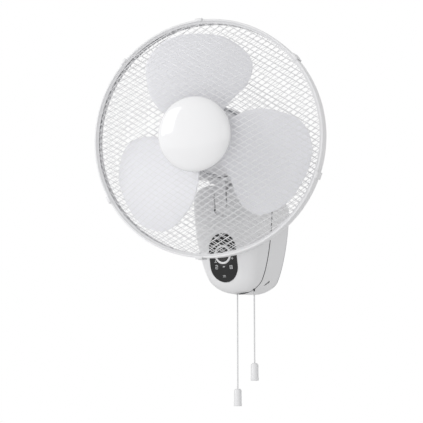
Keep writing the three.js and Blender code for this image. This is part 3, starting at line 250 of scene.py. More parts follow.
GRIP_FINISH = moulded("grip_plastic", GRIP_COLOUR, 0.4)
for kind, (x, exit_height, bottom) in CORDS.items():
    top = bottom - GRIP_GAP
    foot = top - GRIP_LENGTH
    grip = turned([
        (0, foot + GRIP_MOUTH_DEPTH), (4.6 * MM, foot + GRIP_MOUTH_DEPTH), (6 * MM, foot),
        (GRIP_LIP_RADIUS - 0.6 * MM, foot), (GRIP_LIP_RADIUS, foot + 0.8 * MM),
        (GRIP_LIP_RADIUS - 0.2 * MM, foot + 5 * MM),
        (GRIP_RADIUS, foot + 9 * MM), (GRIP_RADIUS, top - 3.4 * MM), (GRIP_RADIUS - 0.7 * MM, top - 2 * MM),
        (GRIP_RADIUS - 3 * MM, top), (0, top)], steps=48)
    placed(grip, Matrix.Translation((x, CORD_PLANE, 0)))
    grip_piece = make_piece(grip, f"{kind}_pull_grip", f"{kind}_pull", "pale_plastic", GRIP_FINISH,
                            f"{kind}_grip")

# ---------------------------------------------------------------- floor, backdrop and lamps
# A plain pale floor far below and a white surround. A wide soft lamp stands to the upper left,
# a weak one to the right, and a third low in front, which shows in no gloss.

FLOOR_HEIGHT = -1.6
FLOOR_SIZE = 16
FLOOR_PALENESS = 0.75          # of what the camera sees
AMBIENT = 0.63
LAMPS_AIM = Vector((0, -0.15, 0.12))
LAMPS = {  # place, watts, side
    "key": ((-1.5, -2.3, 1.1), 28, 1.5),
    "fill": ((2.2, -1.4, 0.2), 2, 1.2),
    "front": ((0.9, -2.4, -0.6), 14, 1.2),
}

floor = bmesh.new()
bmesh.ops.create_grid(floor, x_segments=8, y_segments=8, size=FLOOR_SIZE / 2,
                      matrix=Matrix.Translation((0, 0, FLOOR_HEIGHT)))
floor_mesh = bpy.data.meshes.new("floor")
floor.to_mesh(floor_mesh)
floor.free()
floor_piece = bpy.data.objects.new("floor", floor_mesh)
bpy.context.collection.objects.link(floor_piece)
floor_finish, nodes, links, shader = new_material("pale_floor")
shader.inputs["Base Color"].default_value = (0.86, 0.86, 0.86, 1)
shader.inputs["Roughness"].default_value = 0.9
shader.inputs["Specular IOR Level"].default_value = 0.1
glow = nodes.new("ShaderNodeEmission")
ray = nodes.new("ShaderNodeLightPath")
paler = nodes.new("ShaderNodeMath")
paler.operation = "MULTIPLY"
paler.inputs[1].default_value = FLOOR_PALENESS
blend = nodes.new("ShaderNodeMixShader")
links.new(ray.outputs["Is Camera Ray"], paler.inputs[0])
links.new(paler.outputs[0], blend.inputs[0])
links.new(shader.outputs[0], blend.inputs[1])
links.new(glow.outputs[0], blend.inputs[2])
links.new(blend.outputs[0], nodes["Material Output"].inputs["Surface"])
floor_mesh.materials.append(floor_finish)

world = bpy.data.worlds.new("studio")
bpy.context.scene.world = world
world.use_nodes = True
nodes, links = world.node_tree.nodes, world.node_tree.links
surround = nodes["Background"]
surround.inputs["Color"].default_value = (1, 1, 1, 1)
surround.inputs["Strength"].default_value = AMBIENT
white = nodes.new("ShaderNodeBackground")
white.inputs["Color"].default_value = (1, 1, 1, 1)
white.inputs["Strength"].default_value = 1
ray = nodes.new("ShaderNodeLightPath")
shown = ray.outputs["Is Camera Ray"]
for kind in ("Is Glossy Ray", "Is Transmission Ray"):
    either = nodes.new("ShaderNodeMath")
    either.operation = "MAXIMUM"
    links.new(shown, either.inputs[0])
    links.new(ray.outputs[kind], either.inputs[1])
    shown = either.outputs[0]
choose = nodes.new("ShaderNodeMixShader")
links.new(shown, choose.inputs[0])
links.new(surround.outputs[0], choose.inputs[1])
links.new(white.outputs[0], choose.inputs[2])
links.new(choose.outputs[0], nodes["World Output"].inputs["Surface"])

for name, (place, watts, side) in LAMPS.items():
    lamp = bpy.data.lights.new(name, "AREA")
    lamp.shape = "SQUARE"
    lamp.energy = watts
    lamp.size = side
    stand = bpy.data.objects.new(name, lamp)
    stand.location = place
    stand.visible_glossy = name != "front"
    stand.rotation_euler = (Vector(place) - LAMPS_AIM).to_track_quat("Z", "Y").to_euler()
    bpy.context.collection.objects.link(stand)
bpy.context.scene.view_settings.view_transform = "Standard"

# ---------------------------------------------------------------- base: outline and wall plate
# The wall plate is a zinc plated steel pressing, screwed to the wall through two keyholes.
# Its outline, like both shells', is wide at the top and drawn in to a rounded foot.

BASE_HALF_WIDTH = 76.5 * MM
BASE_SIDE_DRAFT = 0.06
BASE_TOP = 80 * MM
BASE_TOP_RISE = 0.33
BASE_TOP_BEND = 0.58           # per metre
BASE_BOTTOM = -97 * MM
BASE_BOTTOM_DROP = 0.061
REAR_CORNER, FRONT_CORNER = 20 * MM, 32 * MM
SEAM_DEPTH = 59 * MM
LOWER_CORNER = Vector((50, -75)) * MM
WALL_PLATE_THICKNESS = 3 * MM
WALL_PLATE_INSET = 1.5 * MM
KEYHOLE_X, KEYHOLE_Z, KEYHOLE_TOP = 40 * MM, 24 * MM, 38 * MM
KEYHOLE_RADIUS, KEYHOLE_SLOT_HALF = 5 * MM, 2.4 * MM
THROUGH = 10 * MM              # how far the keyholes' tools reach either way
PRESSED_X = (-52.7, -17, 17, 52.7)
PRESSED_RADIUS, PRESSED_AXIS_Y = 3.5 * MM, 2.6 * MM
PRESSED_BOTTOM, PRESSED_TOP = -42 * MM, 60 * MM
STEEL_COLOUR = (0.56, 0.57, 0.58, 1)
BLOTCHES_PER_METRE, SCRATCHES_PER_METRE = 60, 900


def base_outline(depth, inset=0.0):
    """Points round the base at a depth from the wall, as X and Z, drawn in all round by inset."""
    near = min(depth, SEAM_DEPTH)
    width = BASE_HALF_WIDTH - BASE_SIDE_DRAFT * near
    top = BASE_TOP + BASE_TOP_RISE * depth - BASE_TOP_BEND * depth ** 2
    bottom = BASE_BOTTOM - BASE_BOTTOM_DROP * near
    corner = REAR_CORNER + (FRONT_CORNER - REAR_CORNER) * near / SEAM_DEPTH
    half = [Vector(((width - corner) * i / 8, top)) for i in range(8)]
    for i in range(12):
        t = math.pi / 2 * (1 - i / 12)
        half.append(Vector((width - corner + corner * math.cos(t), top - corner + corner * math.sin(t))))
    side = (Vector((width, top - corner)), Vector((width, top - corner - 40 * MM)),
            LOWER_CORNER + Vector((16, 33)) * MM, LOWER_CORNER)
    foot = (LOWER_CORNER, LOWER_CORNER + Vector((-5, -11)) * MM, Vector((LOWER_CORNER.x / 2, bottom)),
            Vector((0, bottom)))
    half += [p.to_2d() for p in interpolate_bezier(*[v.to_3d() for v in side], 21)][:-1]
    half += [p.to_2d() for p in interpolate_bezier(*[v.to_3d() for v in foot], 15)]
    loop = half + [Vector((-p.x, p.y)) for p in reversed(half[1:-1])]
    count = len(loop)
    drawn = []
    for i, point in enumerate(loop):
        along = (loop[(i + 3) % count] - loop[i - 3]).normalized()
        drawn.append(point + Vector((along.y, -along.x)) * inset)
    return drawn


def first_loop(bm, points):
    """A closed loop of edges through the points; each vertex remembers its number."""
    order = bm.verts.layers.int.new("order")
    circle = bmesh.ops.create_circle(bm, segments=len(points), radius=1)["verts"]
    for i, vert in enumerate(circle):
        vert[order] = i
        vert.co = points[i]
    return list(bm.edges)


def next_loop(bm, edges, points):
    """Extrudes a loop to new points."""
    order = bm.verts.layers.int["order"]
    grown = bmesh.ops.extrude_edge_only(bm, edges=edges)["geom"]
    fresh = {part for part in grown if isinstance(part, bmesh.types.BMVert)}
    for vert in fresh:
        vert.co = points[vert[order]]
    return [part for part in grown
            if isinstance(part, bmesh.types.BMEdge) and all(v in fresh for v in part.verts)]


def lofted(loops):
    """A closed skin through loops of equally many points."""
    bm = bmesh.new()
    first = edges = first_loop(bm, loops[0])
    for points in loops[1:]:
        edges = next_loop(bm, edges, points)
    bmesh.ops.edgeloop_fill(bm, edges=edges)
    bmesh.ops.edgeloop_fill(bm, edges=first)
    bmesh.ops.recalc_face_normals(bm, faces=bm.faces)
    return bm


def at_depth(points, depth):
    """Points of X and Z as places at a depth from the wall."""
    return [Vector((p.x, -depth, p.y)) for p in points]


def work_object(bm):
    """A bmesh as an object with two material slots, for a cut."""
    mesh = bpy.data.meshes.new("work")
    bm.to_mesh(mesh)
    bm.free()
    for _ in range(2):
        mesh.materials.append(None)
    work = bpy.data.objects.new("work", mesh)
    bpy.context.collection.objects.link(work)
    return work


def combined(bm, tool, operation="DIFFERENCE", rounding=0.0, segments=2):
    """A solid with a tool taken away from it, or joined to it; the edge where they meet is rounded."""
    for face in bm.faces:
        face.material_index = 0
    for face in tool.faces:
        face.material_index = 1
    body, other = work_object(bm), work_object(tool)
    carve = body.modifiers.new("carve", "BOOLEAN")
    carve.operation = operation
    carve.solver = "EXACT"
    carve.object = other
    evaluated = body.evaluated_get(bpy.context.evaluated_depsgraph_get())
    result = bmesh.new()
    result.from_mesh(evaluated.to_mesh())
    bpy.data.objects.remove(body)
    bpy.data.objects.remove(other)

    def meeting_edges():
        return [e for e in result.edges if len(e.link_faces) == 2
                and e.link_faces[0].material_index != e.link_faces[1].material_index]

    if rounding:
        near = {v for e in meeting_edges() for v in e.verts}
        bmesh.ops.remove_doubles(result, verts=list(near), dist=rounding * 0.4)
        bmesh.ops.dissolve_degenerate(result, edges=result.edges, dist=0.01 * MM)
        bmesh.ops.bevel(result, geom=meeting_edges(), offset=rounding, segments=segments, profile=0.5,
                        affect="EDGES", material=-1, clamp_overlap=False)
    for face in result.faces:
        face.material_index = 0
    return result


def cylinder(radius, start, end, sides=48):
    """A closed cylinder between two points."""
    bm = bmesh.new()
    start, end = Vector(start), Vector(end)
    direction = end - start
    turn = direction.to_track_quat("Z", "Y").to_matrix().to_4x4()
    bmesh.ops.create_cone(bm, cap_ends=True, segments=sides, radius1=radius, radius2=radius,
                          depth=direction.length, matrix=Matrix.Translation((start + end) / 2) @ turn)
    return bm


def box(low, high):
    """A closed box between two corners."""
    bm = bmesh.new()
    low, high = Vector(low), Vector(high)
    size = Matrix.Diagonal((*(high - low), 1))
    bmesh.ops.create_cube(bm, size=1, matrix=Matrix.Translation((low + high) / 2) @ size)
    return bm


def plated(name, colour, roughness, brushed=0.0):
    """Plated or cast metal with faint blotches and fine scratches."""
    material, nodes, links, shader = new_material(name)
    place = nodes.new("ShaderNodeTexCoord").outputs["Object"]
    stretch = nodes.new("ShaderNodeMapping")
    stretch.inputs["Scale"].default_value = (1, 1, 1 - 0.96 * brushed)
    links.new(place, stretch.inputs["Vector"])
    scratches = noise(nodes, links, stretch.outputs["Vector"], SCRATCHES_PER_METRE, 4)
    tinted(nodes, links, shader, colour, 0.72, noise(nodes, links, place, BLOTCHES_PER_METRE, 2))
    glossed(nodes, links, shader, roughness, 0.3, scratches)
    embossed(nodes, links, shader, scratches, 0.15, 0.05 * MM)
    shader.inputs["Metallic"].default_value = 1
    return material


STEEL_FINISH = plated("zinc_steel", STEEL_COLOUR, 0.38, brushed=1.0)
plate = lofted([at_depth(base_outline(depth, WALL_PLATE_INSET), depth)
                for depth in (0, WALL_PLATE_THICKNESS)])
soften(plate, 0.5 * MM)
for side in (-KEYHOLE_X, KEYHOLE_X):
    plate = combined(plate, cylinder(KEYHOLE_RADIUS, (side, -THROUGH, KEYHOLE_Z), (side, THROUGH, KEYHOLE_Z)))
    plate = combined(plate, box((side - KEYHOLE_SLOT_HALF, -THROUGH, KEYHOLE_Z),
                                (side + KEYHOLE_SLOT_HALF, THROUGH, KEYHOLE_TOP)))
for x in PRESSED_X:  # stiffening grooves
    plate = combined(plate, cylinder(PRESSED_RADIUS, (x * MM, PRESSED_AXIS_Y, PRESSED_BOTTOM),
                                     (x * MM, PRESSED_AXIS_Y, PRESSED_TOP), 24))
make_piece(plate, "back_plate", "base", "steel", STEEL_FINISH, "wall_plate", smooth=25)

# ---------------------------------------------------------------- base: rear shell
# The rear half of the housing, moulded in white plastic, hooks onto the wall plate.
# A slanted slot in its lower corner reaches the release catch, and the mains inlet is on its other side.

SHELL_WALL = 2.8 * MM
SHELL_BACK_DEPTH = 3.3 * MM
WHITE_COLOUR = (0.80, 0.80, 0.81, 1)
WHITE_FINISH = moulded("white_plastic", WHITE_COLOUR, 0.34)
BACK_WALL = 4 * MM
BACK_ROUNDING = 2 * MM
SEAM_ROUNDING = 0.5 * MM
SEAM_SHADOW = 0.8 * MM         # half the groove between the two shells
# painted shade: the near-black that the groove between the shells is painted, standing in for the shade in it
SEAM_PAINTED_SHADE_COLOUR = (0.07, 0.07, 0.075, 1)
RELEASE_SLOT_AT = Vector((52, -35, -80)) * MM
RELEASE_SLOT_SIZE = (22 * MM, 15 * MM, 4.2 * MM)
PULL_HOLE_RADIUS = 2.8 * MM
INLET_DEPTH, INLET_Z = 30 * MM, -15 * MM
INLET_HOLE_RADIUS = 5.5 * MM


def pull_holes():
    """The two holes in the seam that the cords leave by, as tools."""
    return [cylinder(PULL_HOLE_RADIUS, (x, CORD_PLANE, top - 0.02), (x, CORD_PLANE, top + 0.012), 24)
            for x, top, bottom in CORDS.values()]


rear_end = SEAM_DEPTH - SEAM_SHADOW
outside = []
for i in range(5):
    a = math.pi / 2 * i / 4
    depth = SHELL_BACK_DEPTH + BACK_ROUNDING * (1 - math.cos(a))
    outside.append(at_depth(base_outline(depth, BACK_ROUNDING * (1 - math.sin(a))), depth))
side_start = SHELL_BACK_DEPTH + BACK_ROUNDING
for i in range(1, 9):
    depth = side_start + (rear_end - side_start - SEAM_ROUNDING) * i / 8
    outside.append(at_depth(base_outline(depth), depth))
outside.append(at_depth(base_outline(rear_end, SEAM_ROUNDING), rear_end))
inside = []
for i in range(5):
    depth = SHELL_BACK_DEPTH + BACK_WALL + (rear_end - SHELL_BACK_DEPTH - BACK_WALL) * i / 4
    inside.append(at_depth(base_outline(depth, SHELL_WALL), depth))
rear = lofted(outside + inside[::-1])
for hole in pull_holes():
    rear = combined(rear, hole)
slant = Vector((0, -1, -1)).normalized()
sideways = Vector((1, 0, 0))
slot_turn = Matrix((sideways, slant, sideways.cross(slant))).transposed().to_4x4()
release = box([-s / 2 for s in RELEASE_SLOT_SIZE], [s / 2 for s in RELEASE_SLOT_SIZE])
rear = combined(rear, placed(release, Matrix.Translation(RELEASE_SLOT_AT) @ slot_turn), rounding=0.4 * MM)
inlet_hole = cylinder(INLET_HOLE_RADIUS, (-80 * MM, -INLET_DEPTH, INLET_Z), (-50 * MM, -INLET_DEPTH, INLET_Z))
rear = combined(rear, inlet_hole, rounding=0.5 * MM)


def with_painted_seam_shade(name, colour, roughness):
    """The shells' plastic, with painted shade: dark in the narrow groove between them, where shade falls."""
    material = moulded(name, colour, roughness)
    nodes, links = material.node_tree.nodes, material.node_tree.links
    shader = nodes["Principled BSDF"]
    plain = shader.inputs["Base Color"].links[0].from_socket
    place = nodes.new("ShaderNodeTexCoord")
    split = nodes.new("ShaderNodeSeparateXYZ")
    # painted shade: picks out the groove's walls and edges near the seam plane, which are painted dark
    groove = nodes.new("ShaderNodeMath")
    groove.operation = "COMPARE"
    groove.inputs[1].default_value = -SEAM_DEPTH
    groove.inputs[2].default_value = SEAM_SHADOW + SEAM_ROUNDING
    shade = nodes.new("ShaderNodeMix")
    shade.data_type = "RGBA"
    shade.inputs[7].default_value = SEAM_PAINTED_SHADE_COLOUR
    links.new(place.outputs["Object"], split.inputs[0])
    links.new(split.outputs["Y"], groove.inputs[0])
    links.new(groove.outputs[0], shade.inputs[0])
    links.new(plain, shade.inputs[6])
    links.new(shade.outputs[2], shader.inputs["Base Color"])
    return material


# both shells carry the painted shade in the seam groove
SHELL_FINISH = with_painted_seam_shade("shell_plastic", WHITE_COLOUR, 0.34)
make_piece(rear, "rear_housing", "base", "white_plastic", SHELL_FINISH, "rear_shell")

# ---------------------------------------------------------------- base: mains inlet
# A short pale bush in the side of the rear shell, open for the supply lead.

BUSH_BORE, BUSH_RADIUS, BUSH_LENGTH = 3.4 * MM, 5.2 * MM, 10 * MM
BUSH_INNER_X = -60 * MM
inlet = turned([(BUSH_BORE, 0), (BUSH_RADIUS, 0), (BUSH_RADIUS, BUSH_LENGTH), (BUSH_BORE, BUSH_LENGTH)],
               48, closed=True)
soften(inlet, 0.4 * MM)
placed(inlet, Matrix.Translation((BUSH_INNER_X, -INLET_DEPTH, INLET_Z))
       @ Matrix.Rotation(-math.pi / 2, 4, "Y"))
make_piece(inlet, "inlet_bush", "base", "pale_plastic", GRIP_FINISH, "cord_inlet")

# ---------------------------------------------------------------- base: front shell
# The domed front half of the housing: one bowed face with broad rounded edges, slotted at the top for
# the neck. Below, between the two cords, a shallow scoop is cut out of its edge.

FACE_CREST_DEPTH = 127.5 * MM
FACE_CREST_Z = 75 * MM
FACE_BOW_RADIUS = 602 * MM
FACE_ROUNDING = 28 * MM
SLOT_HALF_WIDTH = 14.7 * MM
SLOT_BOTTOM = 41 * MM
SLOT_BACK = 63 * MM
SLOT_ABOVE = 160 * MM          # the slot's tool ends clear above the shell
CLEAR_AHEAD = 140 * MM         # and the tools clear ahead of the face
PANEL_HOLE_BACK = 84 * MM
SCOOP_RADIUS = 300 * MM
SCOOP_END = 86 * MM            # depth at which the scoop runs out
PANEL_HALF_WIDTH = 30.3 * MM
PANEL_TOP, PANEL_BOTTOM = 9.3 * MM, -81.3 * MM
FACE_MIDDLE = 5 * MM
SEAT_GAP = 0.3 * MM


def face_depth(z):
    """How far the front face stands from the wall at a height."""
    return FACE_CREST_DEPTH - (z - FACE_CREST_Z) ** 2 / (2 * FACE_BOW_RADIUS)


def front_loop(outline_depth, inset, depth_of):
    """The outline drawn in, each point at the depth that its height gives."""
    return [Vector((p.x, -depth_of(p.y), p.y)) for p in base_outline(outline_depth, inset)]


def stadium(half_width, bottom, top, steps):
    """Points of X and Z round an upright plate with round ends."""
    points = []
    for centre, start in ((top - half_width, 0), (bottom + half_width, math.pi)):
        for i in range(steps + 1):
            a = start + math.pi * i / steps
            points.append(Vector((half_width * math.cos(a), centre + half_width * math.sin(a))))
    return points


def capsule(half_width, bottom, top, front, back):
    """An upright plate with round ends, as a tool or a blank."""
    points = stadium(half_width, bottom, top, 24)
    return lofted([at_depth(points, back), at_depth(points, front)])


def closing_loops(edge, middle, shares, depth_of):
    """The edge of a face drawn in to a middle height by shares, each point at its height's depth."""
    loops = []
    for share in shares:
        shrunk = []
        for p in edge:
            z = middle + (p.z - middle) * share
            shrunk.append(Vector((p.x * share, -depth_of(z), z)))
        loops.append(shrunk)
    return loops


def dome_loops(start, inset):
    """The front shell's skin from its back edge to the middle of its face, drawn in all round by inset."""
    rounding = FACE_ROUNDING - inset
    edge_depth = FACE_CREST_DEPTH - FACE_ROUNDING

    def skin_depth(z):
        return face_depth(z) - inset

    loops = []
    for i in range(9):
        share = i / 8
        loops.append(front_loop(start + (edge_depth - start) * share, inset,
                                lambda z: start + (skin_depth(z) - rounding - start) * share))
    for i in range(1, 11):
        a = math.pi / 2 * i / 10
        loops.append(front_loop(edge_depth, inset + rounding * (1 - math.cos(a)),
                                lambda z: skin_depth(z) - rounding * (1 - math.sin(a))))
    shares = (0.88, 0.76, 0.64, 0.52, 0.4, 0.28, 0.16, 0.06)
    return loops + closing_loops(loops[-1], FACE_MIDDLE, shares, skin_depth)


front_start = SEAM_DEPTH + SEAM_SHADOW
seam_edge = front_loop(front_start, SEAM_ROUNDING, lambda z: front_start)
inner_skin = dome_loops(front_start, SHELL_WALL)[::-1]
front = lofted(inner_skin + [seam_edge] + dome_loops(front_start + SEAM_ROUNDING, 0))
neck_slot = capsule(SLOT_HALF_WIDTH, SLOT_BOTTOM, SLOT_ABOVE, CLEAR_AHEAD, SLOT_BACK)
front = combined(front, neck_slot, rounding=0.8 * MM)
panel_hole = capsule(PANEL_HALF_WIDTH + SEAT_GAP, PANEL_BOTTOM - SEAT_GAP, PANEL_TOP + SEAT_GAP,
                     CLEAR_AHEAD, PANEL_HOLE_BACK)
front = combined(front, panel_hole, rounding=0.5 * MM)
for hole in pull_holes():
    front = combined(front, hole)
speed_exit, swing_exit = [Vector((x, 0, top)) for x, top, bottom in CORDS.values()]
chord = swing_exit - speed_exit
scoop_drop = math.sqrt(SCOOP_RADIUS ** 2 - (chord.length / 2) ** 2)
scoop_axis = (speed_exit + swing_exit) / 2 + Vector((chord.z, 0, -chord.x)).normalized() * scoop_drop
scoop = cylinder(SCOOP_RADIUS, scoop_axis - Vector((0, SEAM_DEPTH - 2 * MM, 0)),
                 scoop_axis - Vector((0, SCOOP_END, 0)), 384)
front = combined(front, scoop, rounding=0.4 * MM)
make_piece(front, "front_housing", "base", "white_plastic", SHELL_FINISH, "front_shell")

# ---------------------------------------------------------------- base: control panel
# A dark glossy insert with round ends, let into the front face and standing a little proud of it.
# Its marks are printed in grey: a digit, a plus, a few plain bars and one small lamp.

PANEL_PROUD = 0.6 * MM
PANEL_THICKNESS = 4 * MM
BUTTON_Z = -30 * MM
RING_RADIUS, RING_BORE = 18 * MM, 14 * MM
DARK_COLOUR = (0.012, 0.012, 0.013, 1)
PANEL_FINISH = moulded("dark_gloss", DARK_COLOUR, 0.16, grain=0.05, mottle=0.4, coat=0.3)
PANEL_EDGE = (                  # inset and lift of its rounded edge
    (0, -PANEL_THICKNESS), (0, -0.8 * MM), (0.15 * MM, -0.3 * MM), (0.5 * MM, -0.05 * MM), (1 * MM, 0))


def panel_depth(z):
    """How far the panel's face stands from the wall at a height."""
    return face_depth(z) + PANEL_PROUD


panel_loops = []
for inset, lift in PANEL_EDGE:
    points = stadium(PANEL_HALF_WIDTH - inset, PANEL_BOTTOM + inset, PANEL_TOP - inset, 32)
    panel_loops.append([Vector((p.x, -(panel_depth(p.y) + lift), p.y)) for p in points])
panel_loops += closing_loops(panel_loops[-1], (PANEL_TOP + PANEL_BOTTOM) / 2,
                             (0.85, 0.7, 0.55, 0.4, 0.25, 0.1), panel_depth)
panel = lofted(panel_loops)
button_slope = math.atan((FACE_CREST_Z - BUTTON_Z) / FACE_BOW_RADIUS)
BUTTON_FRAME = (Matrix.Translation((0, -face_depth(BUTTON_Z), BUTTON_Z))
                @ Matrix.Rotation(button_slope + math.pi / 2, 4, "X"))
ring_hole = cylinder(RING_RADIUS + SEAT_GAP, (0, 0, -20 * MM), (0, 0, 20 * MM), 96)
panel = combined(panel, placed(ring_hole, BUTTON_FRAME), rounding=0.25 * MM)
make_piece(panel, "panel_insert", "base", "dark_panel", PANEL_FINISH, "control_panel")

MARK_COLOUR = (0.62, 0.63, 0.64, 1)
MARK_FINISH = moulded("printed_grey", MARK_COLOUR, 0.5, grain=0.0)
MARK_THICKNESS = 0.12 * MM
MARK_BARS = (                   # X, Z, width and height, all in millimetres
    (-17.2, -41.2, 1, 4), (-17.2, -43.6, 5, 1),                   # upper left
    (20.5, -38.6, 4.6, 1), (20.5, -38.6, 1, 4.6),                 # upper right, a plus
    (-16, -49.4, 5.4, 1), (-13.8, -51, 1, 3.4), (-16, -52.6, 5.4, 1),
    (-18.2, -54.2, 1, 3.4), (-16, -55.9, 5.4, 1),                 # a two
    (0, -52.8, 4.4, 1.8),                                         # the small lamp
    (16, -51.6, 6, 1), (16, -57.4, 6, 1), (13.5, -54.5, 1, 5),
    (18.5, -54.5, 1, 5), (16, -54.5, 2, 2),                       # a square
    (-1.4, -69, 6.4, 0.8), (-1.4, -71.4, 6.4, 0.8))               # lowest, two bars
marks = bmesh.new()
for x, z, width, height in MARK_BARS:
    lean = math.atan((FACE_CREST_Z - z * MM) / FACE_BOW_RADIUS)
    spot = Matrix.Translation((x * MM, -panel_depth(z * MM), z * MM)) @ Matrix.Rotation(lean, 4, "X")
    size = Matrix.Diagonal((width * MM, MARK_THICKNESS, height * MM, 1))
    bmesh.ops.create_cube(marks, size=1, matrix=spot @ size)
make_piece(marks, "panel_marks", "base", "pale_plastic", MARK_FINISH)

# ---------------------------------------------------------------- base: push button and its ring
# A glossy white ring is pressed into the panel.
# The round dark button moves inside it, slightly dished, on a stem that reaches the board.

GLOSS_COLOUR = (0.84, 0.84, 0.85, 1)
GLOSS_FINISH = moulded("gloss_white", GLOSS_COLOUR, 0.1, grain=0.02, coat=0.5)
RING_SEAT = -3.6 * MM
CAP_SKIRT, STEM_END, STEM_RADIUS = -2.1 * MM, -15.2 * MM, 3 * MM
BUTTON_RADIUS = 13.7 * MM
ring = turned([
    (RING_BORE, RING_SEAT), (RING_RADIUS, RING_SEAT), (RING_RADIUS, 0.7 * MM),
    (RING_RADIUS - 0.5 * MM, 1.25 * MM), (RING_RADIUS - 1.4 * MM, 1.4 * MM),
    (RING_BORE + 1.2 * MM, 1.4 * MM), (RING_BORE + 0.3 * MM, 1.1 * MM), (RING_BORE, 0.5 * MM)], closed=True)
placed(ring, BUTTON_FRAME)
make_piece(ring, "button_bezel", "base", "gloss_white", GLOSS_FINISH, "button_ring")
button = turned([
    (0, STEM_END), (STEM_RADIUS, STEM_END), (STEM_RADIUS, CAP_SKIRT), (BUTTON_RADIUS, CAP_SKIRT),
    (BUTTON_RADIUS, 0.3 * MM), (BUTTON_RADIUS - 0.4 * MM, 0.8 * MM), (BUTTON_RADIUS - 1.1 * MM, 0.9 * MM),
    (BUTTON_RADIUS - 2.3 * MM, 0.8 * MM), (8 * MM, 0.45 * MM), (4 * MM, 0.2 * MM), (0, 0.1 * MM)])
placed(button, BUTTON_FRAME)
make_piece(button, "button_cap", "button", "dark_plastic", PANEL_FINISH, "power_button")

# ---------------------------------------------------------------- works behind the shells and in the motor
# The board, switches, capacitor, terminals, bracket, pin and screws, and the motor's frame, windings,
# bearings, shaft and swing gear. They keep their CAD meshes, and are seen only through the gaps.

BOARD_FINISH = moulded("board_lacquer", (0.03, 0.15, 0.07, 1), 0.45, mottle=0.3)
DARK_FINISH = moulded("dark_plastic", (0.016, 0.017, 0.019, 1), 0.4, mottle=0.2)
NYLON_FINISH = moulded("nylon", (0.74, 0.70, 0.62, 1), 0.5)
COPPER_FINISH = plated("copper_winding", (0.48, 0.17, 0.07, 1), 0.4)
CAST_FINISH = plated("cast_aluminium", (0.52, 0.53, 0.55, 1), 0.55)


def dress(finish, *cad_nodes):
    """Gives CAD nodes that stay in view their finish."""
    for name in cad_nodes:
        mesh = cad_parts[name].data
        mesh.materials.clear()
        mesh.materials.append(finish)


dress(BOARD_FINISH, "circuit_board")
dress(DARK_FINISH, "speed_switch", "swing_switch", "run_capacitor", "speed_rod", "swing_rod")
dress(NYLON_FINISH, "terminal_block", "swing_crank")
dress(STEEL_FINISH, "switch_plate", "tilt_bracket", "tilt_pin", "tilt_nut", "swing_post", "link_stud",
      "swing_link", "stator", "bearing_front", "bearing_rear", "rotor_core", "motor_shaft",
      *[f"shell_screw_{i}" for i in range(1, 5)])
dress(CAST_FINISH, "motor_frame", "swing_motor")
dress(COPPER_FINISH, "winding_front", "winding_rear")

# ---------------------------------------------------------------- neck
# A stout moulded arm that nods on the tilt pin. Its rounded tongue fills the slot in the front shell,
# and its top spreads into a round collar under the motor.

TILT_PIN_AT = Vector((0, -100, 60)) * MM
NECK_LEAN = math.radians(5.73)
NECK_FRAME = Matrix.Translation(TILT_PIN_AT) @ Matrix.Rotation(NECK_LEAN, 4, "X")
NECK_HALF_WIDTH = 12.4 * MM
NECK_FRONT, NECK_BACK = -25 * MM, 26 * MM
NECK_FOOT_RADIUS = 28.8 * MM
TONGUE_BOTTOM = -17 * MM
COLLAR_RADIUS = 40 * MM
COLLAR_FOOT, COLLAR_TOP = 50 * MM, 57 * MM
SWING_BEHIND_TILT = 12 * MM
POST_BORE_RADIUS, POST_BORE_BOTTOM = 5.3 * MM, 36.7 * MM
PIN_BORE_RADIUS = 4.3 * MM

front_angle = math.pi - math.acos(-NECK_FRONT / NECK_FOOT_RADIUS)
back_angle = math.acos(NECK_BACK / NECK_FOOT_RADIUS)
side_view = []
for i in range(25):
    a = -front_angle + (front_angle - back_angle) * i / 24
    side_view.append(Vector((NECK_FOOT_RADIUS * math.cos(a), NECK_FOOT_RADIUS * math.sin(a))))
arm_end = COLLAR_RADIUS - 5 * MM
side_view += [Vector((NECK_BACK, 30 * MM)), Vector((SWING_BEHIND_TILT + arm_end, COLLAR_FOOT + 2 * MM)),
              Vector((SWING_BEHIND_TILT - arm_end, COLLAR_FOOT + 2 * MM)), Vector((NECK_FRONT, 40 * MM))]
arm = lofted([[Vector((x, p.x, p.y)) for p in side_view] for x in (-NECK_HALF_WIDTH, NECK_HALF_WIDTH)])
tongue_blank = capsule(NECK_HALF_WIDTH, TONGUE_BOTTOM, 90 * MM, 60 * MM, -60 * MM)
arm = combined(arm, tongue_blank, "INTERSECT", rounding=1.2 * MM, segments=3)
collar = turned([
    (0, COLLAR_FOOT), (COLLAR_RADIUS - 1.5 * MM, COLLAR_FOOT), (COLLAR_RADIUS, COLLAR_FOOT + 1.2 * MM),
    (COLLAR_RADIUS, COLLAR_TOP - 0.8 * MM), (COLLAR_RADIUS - 0.8 * MM, COLLAR_TOP), (0, COLLAR_TOP)])
placed(collar, Matrix.Translation((0, SWING_BEHIND_TILT, 0)))
arm = combined(arm, collar, "UNION")
arm = combined(arm, cylinder(POST_BORE_RADIUS, (0, SWING_BEHIND_TILT, POST_BORE_BOTTOM),
                             (0, SWING_BEHIND_TILT, COLLAR_TOP + 3 * MM)))
arm = combined(arm, cylinder(PIN_BORE_RADIUS, (-30 * MM, 0, 0), (30 * MM, 0, 0)))
placed(arm, NECK_FRAME)
make_piece(arm, "neck_moulding", "neck_arm", "white_plastic", WHITE_FINISH, "neck")

# ---------------------------------------------------------------- head: motor cover
# A round pot over a wider flat-bottomed skirt that hides the swing gear, in white plastic.
# Slots in its back let the motor's warm air out.

